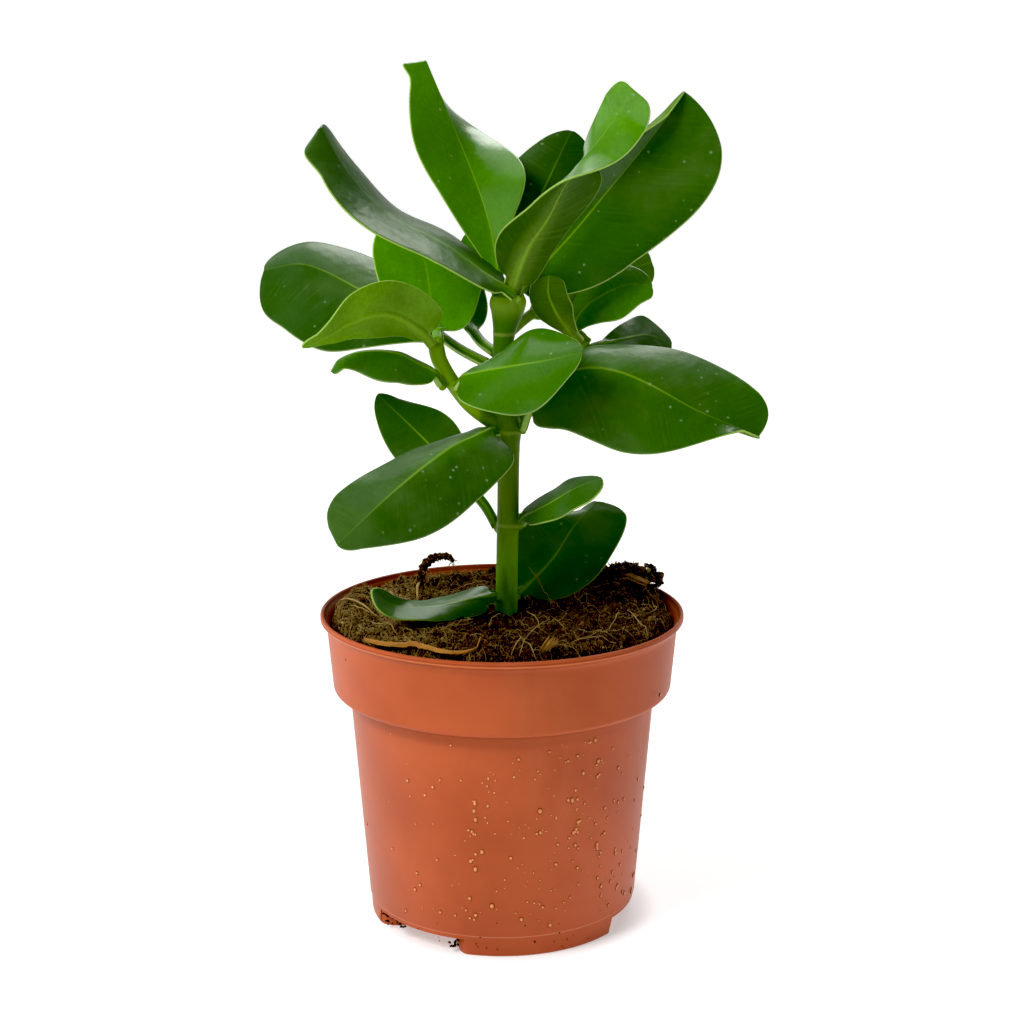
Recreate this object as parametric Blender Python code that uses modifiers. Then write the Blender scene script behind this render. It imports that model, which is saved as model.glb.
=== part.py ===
"""Potted autograph tree: a young Clusia rosea in its 12 cm nursery pot.

Metres, +Z up. Sizes are written in millimetres and turned into metres by MM.
The pot's axis is the plant's own X = Y = 0, the camera side is -Y, and an empty
shifts everything so that the origin lies under the middle of the whole plant.
"""

import math

import bmesh
import bpy
import numpy as np
from mathutils import Vector, noise

MM = 0.001
GAP = 0.3                    # between touching pieces

# the whole
MIDDLE = (3.15, 0.0, 0.0)    # middle of the plant's outline, seen from above

# pot, turned about Z
TURN_STEPS = 48
POT_HEIGHT = 104.0
WALL = 1.2
LIP_RADIUS = 60.0
LIP_HEIGHT = 3.2
BAND_TOP_RADIUS = 57.8
BAND_LOW_RADIUS = 56.1
BAND_LOW_Z = 78.0
BAND_CORNER = 2.0
BODY_TOP_RADIUS = 50.6
BODY_LOW_RADIUS = 44.8
FLOOR_Z = 5.5                # underside of the floor, and height of the feet
FLOOR_THICKNESS = 1.5
FOOT_RADIUS = 44.1
FOOT_INNER_RADIUS = 31.0
FEET = 3
FOOT_CENTRE_DEG = 19.5       # from -Y towards +X
FOOT_GAP_DEG = 39.0
FOOT_CORNER = 8.0            # round ends of a foot, seen from below
SLOT_SIZE = (5.0, 9.0)       # drain slot in each gap, across and outwards
SLOT_RADIUS = 38.0

# soil
SOIL_TURN_STEPS = 48
SOIL_RINGS = 15
SOIL_LEVEL = 103.6
SOIL_LUMPS = (               # x, y, height, spread
    (43, 27, 7.5, 9),
    (24, 33, 3.5, 9),
    (2, -36, 1.6, 15),
    (-49, 14, 1.6, 12),
    (-28, 24, -2.6, 13),
)
SOIL_GRAIN = ((0.11, 2.0), (0.27, 0.9))   # noise per millimetre, height
SOIL_EDGE_RADIUS = 53.0      # outside this the soil slopes to the wall
SOIL_SEED = 4.0

# stem: x, y, z, radius
HOLE_RADIUS = 4.2
HOLE_FLOOR_Z = 79.7
TRUNK = (
    (1.5, 0.0, 80.0, 3.8), (1.5, 0.0, 105.0, 3.7), (1.8, 0.0, 128.0, 3.6), (2.0, 0.0, 133.0, 3.9),
    (2.0, 0.0, 138.0, 3.6), (2.2, 0.0, 159.0, 3.7), (2.3, 0.0, 165.0, 4.2), (1.5, 0.0, 172.0, 3.6),
    (0.4, 0.0, 187.0, 3.3), (0.8, 0.0, 196.0, 3.6), (1.6, 0.0, 202.0, 5.2), (2.0, 0.0, 206.0, 6.3),
    (2.0, 0.0, 208.5, 5.6),
)
LEFT_BRANCH = (
    (0.0, 0.0, 165.0, 2.6), (-10.0, -3.0, 173.0, 2.5), (-16.0, -4.0, 181.0, 2.5),
    (-20.0, -4.0, 188.0, 2.6), (-21.0, -3.0, 192.0, 2.7),
)
RIGHT_BRANCH = (
    (3.0, 2.0, 164.0, 2.5), (9.0, 7.0, 170.0, 2.3), (17.0, 10.0, 179.0, 2.3),
    (22.0, 10.5, 186.0, 2.4), (27.0, 10.0, 190.0, 2.6),
)
TRUNK_POINTS = 32
BRANCH_POINTS = 12
TRUNK_BEVEL = 4
BRANCH_BEVEL = 3

# leaves
STALK_WIDTH = 3.6
STALK_FADE = 0.35            # the stalk's width runs out into the blade by here
STALK_ROWS = 2
BLADE_ROWS = 11
WIDEST = 0.6                 # where a blade is widest, from its foot
ROOT_THICKNESS = 3.0
STALK_THICKNESS = 2.6
RIB_THICKNESS = 1.4
BLADE_THICKNESS = 0.9
RIB_SLIMS = 0.18             # the rib thins over this share of the leaf
WIDE_LEAF = 24.0             # a leaf with a longer reach gets more columns
COLUMNS = 6
WIDE_COLUMNS = 8

# rib: points from the root to the tip. left, right: from the rib to the margin, at
# even steps along the blade. stalk: its share of the rib. tip: larger is blunter.
# foot: smaller is fuller near the stalk.
LEAVES = {
    "leaf_top_left": dict(
        rib=((-1, 2, 209.4), (-2, 4, 220), (-5, 11, 233), (-9, 17, 244), (-18, 25, 265), (-25, 31, 281)),
        left=((-20, -5, 4), (-18, -6, 5), (-15, -6, 5), (-12, -4, 2)),
        right=((8, -4, 4), (18, -3, 7), (9, 10, 1), (-1, 8, -5)),
        stalk=0.12, tip=2.6, foot=0.6),
    "leaf_upper_left": dict(
        rib=((-3, -2, 209), (-6, -3, 216), (-19, -6, 226), (-36, -9, 235), (-50, -11, 247), (-58, -12, 259)),
        left=((-4, -14, -3), (-4, -17, -3), (-5, -10, -5)),
        right=((2, 14, 3), (3, 16, 1), (5, 9, 6)),
        stalk=0.10, tip=3.4, foot=0.85),
    "leaf_top_twisted": dict(
        rib=((3, -3, 209.7), (8, -7, 224), (14, -11, 234), (20, -15, 246), (29, -19, 257), (36, -22, 267),
             (40, -24, 274)),
        left=((8, 3, -6), (8, 7, -4), (12, 10, 0), (-3, 10, -1), (-5, 3, 5)),
        right=((-16, -6, 8), (-9, -9, 4), (-1, -13, 2), (7, -8, -3), (8, -4, -6)),
        stalk=0.12, tip=3.0, foot=0.85),
    "leaf_upper_right": dict(
        rib=((6, 1, 209.9), (13, 5, 217), (22, 11, 226), (31, 17, 236), (49, 25, 257), (60, 31, 271)),
        left=((-12, -6, 9), (-12, -7, 8), (-8, -9, 3), (-2, -8, -2)),
        right=((18, -5, -20), (19, -5, -17), (25, -5, -17)),
        stalk=0.12, tip=2.0, foot=0.75),
    "leaf_top_back": dict(
        rib=((3, 4, 209.5), (4, 10, 218), (10, 22, 232), (17, 31, 246), (23, 38, 258)),
        left=((-12, 2, 2), (-14, 2, 3), (-13, 1, 1)),
        right=((12, 2, -2), (15, 2, -4), (12, 0, -5)),
        stalk=0.14, tip=2.2, foot=0.85),
    "leaf_top_small": dict(
        rib=((-2, 5, 209), (-4, 9, 215), (-8, 12, 222), (-12, 15, 226)),
        left=((-4, -3, -4), (-4, -3, -4)),
        right=((5, 2, 5), (5, 2, 5)),
        stalk=0.14, tip=2.2, foot=0.85),
    "leaf_left_large": dict(
        rib=((-3, 2, 185), (-14, 7, 190), (-27, 14, 198), (-46, 20, 207), (-65, 25, 215), (-79, 27, 213)),
        left=((-6, -9, -11), (-10, -9, -20), (-6, -6, -22)),
        right=((6, 14, 11), (6, 14, 8), (1, 10, 7)),
        stalk=0.24, tip=2.5, foot=0.7),
    "leaf_left_back": dict(
        rib=((-2, 4, 189), (-7, 10, 192), (-11, 16, 197), (-16, 25, 206), (-20, 33, 216)),
        left=((-3, -2, 2), (-9, -3, -1)),
        right=((9, 2, 6), (9, 2, 5)),
        stalk=0.30, tip=2.4, foot=0.5),
    "leaf_left_shoot_up": dict(
        rib=((-20.2, -1.4, 193.7), (-21, 3, 197), (-23, 9, 206), (-25, 16, 216), (-30, 22, 230)),
        left=((-17, -3, 0), (-17, -3, 2), (-15, -2, 3)),
        right=((17, -4, -4), (18, -3, 0), (13, -3, -2)),
        stalk=0.12, tip=2.2, foot=0.5),
    "leaf_left_shoot_arching": dict(
        rib=((-22.2, -5.2, 193.2), (-25, -8, 197), (-32, -15, 203), (-38, -21, 205), (-47, -27, 203),
             (-53, -31, 200), (-61, -34, 197)),
        left=((15, 2, 8), (5, 3, 11), (0, 2, 9), (0, -2, 3)),
        right=((-2, 3, -5), (0, 4, -8), (1, 4, -5), (2, 4, -2)),
        stalk=0.08, tip=2.4, foot=0.5),
    "leaf_left_shoot_low": dict(
        rib=((-19.5, -7.5, 181), (-22, -10, 185), (-28, -13, 189), (-33, -16, 192), (-43, -19, 193),
             (-50, -21, 191), (-53, -21, 187)),
        left=((0, -5, -9), (-1, -4, -9), (2, -2, -3)),
        right=((1, 8, -1), (1, 8, -2), (-2, 6, -2)),
        stalk=0.10, tip=2.4, foot=0.6),
    "leaf_left_shoot_front": dict(
        rib=((-14, -7, 180), (-11, -11, 184), (1, -19, 188), (14, -24, 191), (25, -27, 194)),
        left=((2, 7, 3), (3, 9, 11), (2, 6, 8)),
        right=((-8, -8, -12), (0, -8, -14), (0, -5, -9)),
        stalk=0.10, tip=1.9, foot=0.5),
    "leaf_right_large": dict(
        rib=((7, -3.4, 166), (9.5, -6, 173), (17, -8, 181), (25, -10, 186), (35, -12, 186), (46, -13, 182),
             (62, -15, 173), (83, -17, 164)),
        left=((3, 12, 8), (4, 14, 7), (8, 14, 12), (11, 9, 12)),
        right=((-3, -9, -22), (-6, -8, -24), (-7, -6, -17), (3, -5, 0)),
        stalk=0.10, tip=2.6, foot=0.5),
    "leaf_right_back": dict(
        rib=((29, 13, 189), (33, 15, 190), (41, 21, 191), (49, 28, 191), (57, 33, 187)),
        left=((1, 8, 7), (1, 9, 6), (1, 6, 3)),
        right=((0, -8, -6), (0, -9, -6), (0, -6, -5)),
        stalk=0.12, tip=2.2, foot=0.85),
    "leaf_right_hidden": dict(
        rib=((3, 4, 196), (9, 12, 200), (21, 20, 206), (34, 27, 211), (50, 33, 215)),
        left=((4, -2, -9), (3, -2, -9)),
        right=((-4, 4, 9), (-3, 4, 9)),
        stalk=0.20, tip=3.0, foot=0.85),
    "leaf_right_shoot_narrow": dict(
        rib=((25.2, 7.2, 192.3), (23, 6, 195), (18, 2, 202), (15, -1, 209), (15, -3, 215)),
        left=((4, -2, 2), (6, 0, 1), (6, 1, -1)),
        right=((-4, 1, -2), (-6, 2, -2), (-6, 2, -1)),
        stalk=0.12, tip=4.0, foot=0.85),
    "leaf_right_shoot_glossy": dict(
        rib=((27, 12.5, 192.5), (24, 13, 196), (27, 14, 202), (34, 14, 207), (42, 14, 210), (49, 13, 209)),
        left=((-4, 5, 6), (-3, 6, 7), (0, 5, 6)),
        right=((2, -4, -7), (4, -5, -8), (2, -3, -6)),
        stalk=0.12, tip=2.4, foot=0.85),
    "leaf_low_back": dict(
        rib=((-2, 3, 132), (-6, 7, 138), (-16, 14, 148), (-27, 21, 158), (-42, 28, 171)),
        left=((-7, -3, -8), (-8, -3, -8), (-6, -3, -8)),
        right=((8, 3, 7), (8, 3, 8), (5, 3, 3)),
        stalk=0.20, tip=1.9, foot=0.85),
    "leaf_low_left": dict(
        rib=((-2.4, -4.4, 165), (-6, -9, 165), (-16, -17, 162), (-32, -30, 152), (-53, -42, 141)),
        left=((18, -6, -12), (11, -5, -15), (5, -3, -10)),
        right=((-2, 13, -2), (-5, 14, 4), (-8, 8, 8)),
        stalk=0.08, tip=3.0, foot=0.45),
    "leaf_low_right": dict(
        rib=((6.5, -3.4, 134), (9, -5, 137), (16, -9, 142), (24, -14, 148), (32, -18, 152)),
        left=((-3, 9, 1), (-3, 9, 1)),
        right=((2, -9, -3), (2, -9, -3)),
        stalk=0.12, tip=2.2, foot=0.85),
    "leaf_soil_right": dict(
        rib=((5.3, 3.2, 108), (9, 6, 111), (17, 13, 118), (24, 20, 127), (32, 28, 134)),
        left=((-9, 0, 5), (-12, -2, 11), (-4, 2, -2)),
        right=((11, -2, -9), (13, -2, -7), (17, -2, -2)),
        stalk=0.10, tip=2.4, foot=0.85),
    "leaf_soil_left": dict(
        rib=((-2.3, -3.2, 109), (-8, -8, 110), (-20, -14, 109), (-31, -20, 110), (-37, -24, 113), (-41, -26, 118)),
        left=((0, -8, 5), (0, -8, 0), (-2, -7, -1)),
        right=((0, 8, 2), (1, 8, 0), (4, 5, 1)),
        stalk=0.12, tip=2.4, foot=0.85),
}
YOUNG_LEAVES = (
    "leaf_left_shoot_arching", "leaf_left_shoot_low", "leaf_left_shoot_front", "leaf_right_shoot_narrow",
    "leaf_right_shoot_glossy", "leaf_top_small", "leaf_soil_right",
)

# material: colour (linear), roughness
FINISHES = {
    "pot_plastic": ((0.47, 0.112, 0.043), 0.42),
    "coir_soil": ((0.045, 0.025, 0.014), 0.95),
    "green_stem": ((0.13, 0.26, 0.035), 0.5),
    "mature_leaf": ((0.035, 0.115, 0.017), 0.35),
    "young_leaf": ((0.11, 0.30, 0.022), 0.38),
}


def clear_scene():
    for thing in list(bpy.data.objects):
        bpy.data.objects.remove(thing, do_unlink=True)


def make_collection(name):
    collection = bpy.data.collections.new(name)
    bpy.context.scene.collection.children.link(collection)
    return collection


def make_finishes():
    made = {}
    for name, (colour, roughness) in FINISHES.items():
        material = bpy.data.materials.new(name)
        material.use_nodes = True
        shader = material.node_tree.nodes["Principled BSDF"]
        shader.inputs["Base Color"].default_value = (*colour, 1.0)
        shader.inputs["Roughness"].default_value = roughness
        shader.inputs["Metallic"].default_value = 0.0
        made[name] = material
    return made


def make_piece(name, mesh, collection, parent, finish, location=(0, 0, 0)):
    """An object for one sub-part, shaded smooth with its true edges sharp."""
    piece = bpy.data.objects.new(name, mesh)
    collection.objects.link(piece)
    piece.parent = parent
    piece.location = Vector(location) * MM
    mesh.materials.append(finish)
    mesh.shade_smooth()
    mesh.set_sharp_from_angle(angle=math.radians(40))
    return piece


def add_boolean(piece, other, operation):
    modifier = piece.modifiers.new(operation.lower() + "_" + other.name, "BOOLEAN")
    modifier.operation = operation
    modifier.solver = "EXACT"
    modifier.object = other


def make_helper(name, mesh, collection, parent):
    """A cutter, or a branch that is joined to its stem."""
    helper = bpy.data.objects.new(name, mesh)
    collection.objects.link(helper)
    helper.parent = parent
    helper.hide_render = True
    helper.display_type = "WIRE"
    return helper


def arc(centre, radius, start_deg, end_deg, steps):
    """Profile points (r, z) on an arc."""
    points = []
    for step in range(steps + 1):
        angle = math.radians(start_deg + (end_deg - start_deg) * step / steps)
        points.append((centre[0] + radius * math.cos(angle), centre[1] + radius * math.sin(angle)))
    return points


def turned_mesh(name, profile):
    """A profile of (r, z) points, closed at the axis, as a mesh of edges for a Screw."""
    mesh = bpy.data.meshes.new(name)
    outline = bmesh.new()
    verts = [outline.verts.new((r * MM, 0, z * MM)) for r, z in profile]
    for first, second in zip(verts, verts[1:]):
        outline.edges.new((first, second))
    outline.to_mesh(mesh)
    outline.free()
    return mesh


def add_screw(piece, steps):
    screw = piece.modifiers.new("turn", "SCREW")
    screw.steps = steps
    screw.render_steps = steps
    screw.use_merge_vertices = True
    screw.merge_threshold = 0.00001
    screw.use_smooth_shade = True
    return screw


def body_radius(z):
    """Outer radius of the tapering body under the band."""
    share = (z - FLOOR_Z) / (BAND_LOW_Z - FLOOR_Z)
    return BODY_LOW_RADIUS + (BODY_TOP_RADIUS - BODY_LOW_RADIUS) * share


def pot_profile():
    """From the floor's top at the axis up the inside, over the lip and down the outside."""
    floor_top = FLOOR_Z + FLOOR_THICKNESS
    ledge_top = BAND_LOW_Z + WALL
    lip_low_z = POT_HEIGHT - LIP_HEIGHT
    lip_round = LIP_HEIGHT / 2 - 0.1
    corner = (BAND_LOW_RADIUS - BAND_CORNER, BAND_LOW_Z + BAND_CORNER)
    inside = [
        (0.0, floor_top),
        (body_radius(floor_top) - WALL - 1.5, floor_top),
        (body_radius(floor_top) - WALL, floor_top + 1.5),
        (body_radius(BAND_LOW_Z) - WALL, ledge_top - 0.8),
        (body_radius(BAND_LOW_Z) - WALL + 0.8, ledge_top),
    ]
    inside += arc(corner, BAND_CORNER - WALL, -90, 0, 2)
    inside += [
        (BAND_TOP_RADIUS - WALL, lip_low_z),
        (BAND_TOP_RADIUS - WALL, POT_HEIGHT - 0.7),
        (BAND_TOP_RADIUS - WALL + 0.7, POT_HEIGHT),
    ]
    lip = arc((LIP_RADIUS - lip_round, POT_HEIGHT - lip_round), lip_round, 90, 0, 3)
    lip += arc((LIP_RADIUS - lip_round, lip_low_z + lip_round), lip_round, 0, -70, 2)
    band = [(BAND_TOP_RADIUS, lip_low_z)]
    band += arc(corner, BAND_CORNER, 0, -90, 4)
    body = [
        (BODY_TOP_RADIUS + 0.6, BAND_LOW_Z),
        (BODY_TOP_RADIUS, BAND_LOW_Z - 0.6),
        (BODY_LOW_RADIUS + 0.1, FLOOR_Z + 1.7),
        (BODY_LOW_RADIUS - 0.2, FLOOR_Z + 1.4),
    ]
    foot = [
        (FOOT_RADIUS, 0.8),
        (FOOT_RADIUS - 0.8, 0.0),
        (FOOT_INNER_RADIUS + 0.5, 0.0),
        (FOOT_INNER_RADIUS, 0.5),
        (FOOT_INNER_RADIUS - 0.3, FLOOR_Z),
        (0.0, FLOOR_Z),
    ]
    return inside + lip + band + body + foot


def from_front(radius, degrees, z=0.0):
    """A point at an angle from -Y towards +X."""
    angle = math.radians(degrees)
    return Vector((radius * math.sin(angle), -radius * math.cos(angle), z))


def foot_gap_outline(centre_deg):
    """The gap between two feet, seen from above: it widens outwards round their ends."""
    inner = FOOT_INNER_RADIUS - 2.0
    side = [(inner, 0.0)]
    for step in range(6):
        angle = math.radians(15 * step)
        radius = FOOT_RADIUS - FOOT_CORNER + FOOT_CORNER * math.sin(angle)
        side.append((radius, FOOT_CORNER * (1 - math.cos(angle))))
    side.append((LIP_RADIUS, side[-1][1]))
    half = FOOT_GAP_DEG / 2
    right = [from_front(r, centre_deg + half + math.degrees(extra / r)) for r, extra in side]
    left = [from_front(r, centre_deg - half - math.degrees(extra / r)) for r, extra in side]
    return right + left[::-1]


def flat_curve(name, outline, thickness, z):
    """A filled flat outline of the given thickness, lying in the middle of z."""
    curve = bpy.data.curves.new(name, "CURVE")
    curve.dimensions = "2D"
    curve.fill_mode = "BOTH"
    curve.extrude = thickness / 2 * MM
    spline = curve.splines.new("POLY")
    spline.points.add(len(outline) - 1)
    spline.use_cyclic_u = True
    for point, place in zip(spline.points, outline):
        point.co = (place.x * MM, place.y * MM, 0, 1)
    mesh = mesh_from_curve(curve)
    for vert in mesh.vertices:
        vert.co.z += z * MM
    return mesh


def mesh_from_curve(curve):
    """The curve's mesh with its caps welded; the curve itself is removed."""
    carrier = bpy.data.objects.new(curve.name, curve)
    bpy.context.scene.collection.objects.link(carrier)
    graph = bpy.context.evaluated_depsgraph_get()
    mesh = bpy.data.meshes.new_from_object(carrier.evaluated_get(graph))
    bpy.data.objects.remove(carrier, do_unlink=True)
    bpy.data.curves.remove(curve)
    weld = bmesh.new()
    weld.from_mesh(mesh)
    bmesh.ops.remove_doubles(weld, verts=weld.verts, dist=0.000001)
    bmesh.ops.recalc_face_normals(weld, faces=weld.faces)
    weld.to_mesh(mesh)
    weld.free()
    return mesh


def make_pot(collection, cutters, parent, finish):
    mesh = turned_mesh("pot", pot_profile())
    pot = make_piece("pot", mesh, collection, parent, finish)
    add_screw(pot, TURN_STEPS)
    pitch = 360 / FEET
    for gap in range(FEET):
        centre_deg = FOOT_CENTRE_DEG + (gap + 0.5) * pitch
        outline = foot_gap_outline(centre_deg)
        cut = flat_curve("foot_gap_%d" % (gap + 1), outline, FLOOR_Z + 2.0, FLOOR_Z / 2 - 1.0)
        add_boolean(pot, make_helper(cut.name, cut, cutters, parent), "DIFFERENCE")
        slot_mesh = bpy.data.meshes.new("drain_slot_%d" % (gap + 1))
        block = bmesh.new()
        bmesh.ops.create_cube(block, size=1.0)
        size = Vector((*SLOT_SIZE, FLOOR_Z)) * MM
        bmesh.ops.scale(block, vec=size, verts=block.verts)
        block.to_mesh(slot_mesh)
        block.free()
        slot = make_helper(slot_mesh.name, slot_mesh, cutters, parent)
        slot.location = from_front(SLOT_RADIUS, centre_deg, FLOOR_Z + FLOOR_THICKNESS / 2) * MM
        slot.rotation_euler.z = math.radians(centre_deg)
        add_boolean(pot, slot, "DIFFERENCE")
    return pot


def soil_height(x, y):
    """Height of the soil's surface above the floor plane at a place in the pot."""
    height = SOIL_LEVEL
    for lump_x, lump_y, lump_height, spread in SOIL_LUMPS:
        distance = math.hypot(x - lump_x, y - lump_y)
        height += lump_height * math.exp(-(distance / spread) ** 2 / 2)
    for fineness, size in SOIL_GRAIN:
        height += size * noise.noise(Vector((x * fineness, y * fineness, SOIL_SEED)))
    beyond = max(0.0, math.hypot(x, y) - SOIL_EDGE_RADIUS)
    return height - 0.9 * beyond


def soil_profile():
    """From the top at the axis outwards, down inside the pot's wall and back to the axis."""
    floor_top = FLOOR_Z + FLOOR_THICKNESS + GAP
    clear = WALL + GAP
    ledge_z = BAND_LOW_Z + WALL + GAP
    rim = BAND_TOP_RADIUS - clear
    top = [(rim * ring / SOIL_RINGS, SOIL_LEVEL) for ring in range(SOIL_RINGS + 1)]
    side = [
        (BAND_LOW_RADIUS - clear, ledge_z + BAND_CORNER),
        (BAND_LOW_RADIUS - clear - 1.2, ledge_z),
        (body_radius(BAND_LOW_Z) - clear, ledge_z),
        (body_radius(floor_top) - clear - 0.1, floor_top + 1.8),
        (body_radius(floor_top) - clear - 2.0, floor_top),
        (0.0, floor_top),
    ]
    return top + side


def make_soil(collection, cutters, parent, finish):
    shape = bpy.data.objects.new("soil_turning", turned_mesh("soil_turning", soil_profile()))
    bpy.context.scene.collection.objects.link(shape)
    add_screw(shape, SOIL_TURN_STEPS)
    graph = bpy.context.evaluated_depsgraph_get()
    mesh = bpy.data.meshes.new_from_object(shape.evaluated_get(graph))
    mesh.name = "soil"
    bpy.data.objects.remove(shape, do_unlink=True)
    for vert in mesh.vertices:
        if vert.co.z > (SOIL_LEVEL - 0.01) * MM:
            vert.co.z = soil_height(vert.co.x / MM, vert.co.y / MM) * MM
    soil = make_piece("soil", mesh, collection, parent, finish)
    hole_mesh = bpy.data.meshes.new("stem_hole")
    drill = bmesh.new()
    depth = POT_HEIGHT + 20.0 - HOLE_FLOOR_Z
    bmesh.ops.create_cone(drill, cap_ends=True, segments=16, radius1=HOLE_RADIUS * MM,
                          radius2=HOLE_RADIUS * MM, depth=depth * MM)
    drill.to_mesh(hole_mesh)
    drill.free()
    hole = make_helper("stem_hole", hole_mesh, cutters, parent)
    foot = TRUNK[0]
    hole.location = Vector((foot[0], foot[1], HOLE_FLOOR_Z + depth / 2)) * MM
    add_boolean(soil, hole, "DIFFERENCE")
    return soil


def smooth_curve(points, stations, at):
    """Places on the smooth curve that passes each point at its station from 0 to 1."""
    points = np.asarray(points, float)
    stations = np.asarray(stations, float)
    last = len(points) - 1
    before = np.maximum(np.arange(last + 1) - 1, 0)
    after = np.minimum(np.arange(last + 1) + 1, last)
    slopes = (points[after] - points[before]) / (stations[after] - stations[before])[:, None]
    start = np.clip(np.searchsorted(stations, at, side="right") - 1, 0, last - 1)
    step = (stations[start + 1] - stations[start])[:, None]
    x = (np.asarray(at, float) - stations[start])[:, None] / step
    rise = 3 * x ** 2 - 2 * x ** 3
    out_slope = (x ** 3 - 2 * x ** 2 + x) * step * slopes[start]
    in_slope = (x ** 3 - x ** 2) * step * slopes[start + 1]
    return (1 - rise) * points[start] + out_slope + rise * points[start + 1] + in_slope


def chord_stations(points):
    """Each point's share of the way along the chords."""
    chords = np.linalg.norm(np.diff(np.asarray(points, float)[:, :3], axis=0), axis=1)
    return np.concatenate(([0.0], np.cumsum(chords))) / chords.sum()


def tube_mesh(name, route, count, bevel):
    """A round tube along (x, y, z, radius) points, smoothed, with closed ends."""
    smooth = smooth_curve(route, chord_stations(route), np.linspace(0, 1, count))
    curve = bpy.data.curves.new(name, "CURVE")
    curve.dimensions = "3D"
    curve.bevel_depth = MM
    curve.bevel_resolution = bevel
    curve.use_fill_caps = True
    spline = curve.splines.new("POLY")
    spline.points.add(count - 1)
    for point, (x, y, z, radius) in zip(spline.points, smooth):
        point.co = (x * MM, y * MM, z * MM, 1)
        point.radius = radius
    return mesh_from_curve(curve)


def make_stem(collection, cutters, parent, finish):
    stem = make_piece("stem", tube_mesh("stem", TRUNK, TRUNK_POINTS, TRUNK_BEVEL), collection, parent, finish)
    for name, route in (("left_branch", LEFT_BRANCH), ("right_branch", RIGHT_BRANCH)):
        mesh = tube_mesh(name, route, BRANCH_POINTS, BRANCH_BEVEL)
        add_boolean(stem, make_helper(name, mesh, cutters, parent), "UNION")
    return stem


def leaf_points(leaf, along, across):
    """Points of a leaf's middle surface, from its root (0) to its tip (1) and from
    its left margin (-1) over the rib (0) to its right margin (1)."""
    rib = smooth_curve(leaf["rib"], chord_stations(leaf["rib"]), along)
    blade = np.clip((along - leaf["stalk"]) / (1 - leaf["stalk"]), 0, 1)
    station = np.clip((blade - 0.1) / 0.8, 0, 1)
    left = smooth_curve(leaf["left"], np.linspace(0, 1, len(leaf["left"])), station)
    right = smooth_curve(leaf["right"], np.linspace(0, 1, len(leaf["right"])), station)
    sideways = np.subtract(leaf["right"][0], leaf["left"][0])
    sideways = sideways / np.linalg.norm(sideways)
    foot = np.sin(math.pi / 2 * np.clip(blade / WIDEST, 0, 1)) ** leaf["foot"]
    end = np.clip((blade - WIDEST) / (1 - WIDEST), 0, 1)
    tip = (1 - end ** leaf["tip"]) ** (1 / leaf["tip"])
    outline = np.where(blade < WIDEST, foot, tip)[:, None]
    reach = np.where(across[:, None] < 0, left, right) * outline
    stalk = np.clip(1 - blade / STALK_FADE, 0, 1)[:, None] * STALK_WIDTH / 2
    reach += np.sign(across)[:, None] * sideways * stalk
    return rib + reach * np.abs(across)[:, None]


def leaf_thickness(leaf, along, across):
    """Thick and round at the stalk, a rib that thins to the tip, and an even blade."""
    stalk = leaf["stalk"]
    stations = (0, stalk, stalk + RIB_SLIMS, 1)
    rib = np.interp(along, stations, (ROOT_THICKNESS, STALK_THICKNESS, RIB_THICKNESS, BLADE_THICKNESS))
    return BLADE_THICKNESS + (rib - BLADE_THICKNESS) * (1 - across ** 2)


def leaf_rows(share):
    """Turns even steps along the grid into places along the leaf, closer at the tip."""
    row = share * (STALK_ROWS + BLADE_ROWS)
    step = np.clip((row - STALK_ROWS) / BLADE_ROWS, 0, 1)
    return np.clip(row / STALK_ROWS, 0, 1), 1 - (1 - step) ** 1.5


def make_leaf(name, leaf, collection, parent, finish):
    longest = max(np.linalg.norm(side) for side in leaf["left"] + leaf["right"])
    columns = WIDE_COLUMNS if longest > WIDE_LEAF else COLUMNS
    sheet = bmesh.new()
    bmesh.ops.create_grid(sheet, x_segments=columns, y_segments=STALK_ROWS + BLADE_ROWS, size=1.0)
    sheet.verts.ensure_lookup_table()
    across = np.array([vert.co.x for vert in sheet.verts])
    stalk_share, blade_share = leaf_rows(np.array([(vert.co.y + 1) / 2 for vert in sheet.verts]))
    along = leaf["stalk"] * stalk_share + (1 - leaf["stalk"]) * blade_share
    root = np.array(leaf["rib"][0], float)
    places = (leaf_points(leaf, along, across) - root) * MM
    weights = leaf_thickness(leaf, along, across) / ROOT_THICKNESS
    layer = sheet.verts.layers.deform.verify()
    for vert, place, weight in zip(sheet.verts, places, weights):
        vert.co = place
        vert[layer][0] = weight
    bmesh.ops.remove_doubles(sheet, verts=sheet.verts, dist=0.000001)
    bmesh.ops.triangulate(sheet, faces=sheet.faces)
    mesh = bpy.data.meshes.new(name)
    sheet.to_mesh(mesh)
    sheet.free()
    piece = make_piece(name, mesh, collection, parent, finish, root)
    piece.vertex_groups.new(name="thickness")
    blade = piece.modifiers.new("blade", "SOLIDIFY")
    blade.thickness = ROOT_THICKNESS * MM
    blade.offset = 0.0
    blade.vertex_group = "thickness"
    blade.thickness_vertex_group = 0.0
    return piece


def build():
    clear_scene()
    collection = make_collection("potted_autograph_tree")
    cutters = make_collection("cutters_and_branches")
    finishes = make_finishes()
    whole = bpy.data.objects.new("plant_in_pot", None)
    collection.objects.link(whole)
    whole.location = -Vector(MIDDLE) * MM
    make_pot(collection, cutters, whole, finishes["pot_plastic"])
    make_soil(collection, cutters, whole, finishes["coir_soil"])
    make_stem(collection, cutters, whole, finishes["green_stem"])
    for name, leaf in LEAVES.items():
        age = "young_leaf" if name in YOUNG_LEAVES else "mature_leaf"
        make_leaf(name, leaf, collection, whole, finishes[age])


build()
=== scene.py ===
import bmesh
import bpy
import math
import random
import numpy as np
from mathutils import Matrix, Vector, noise


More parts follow.
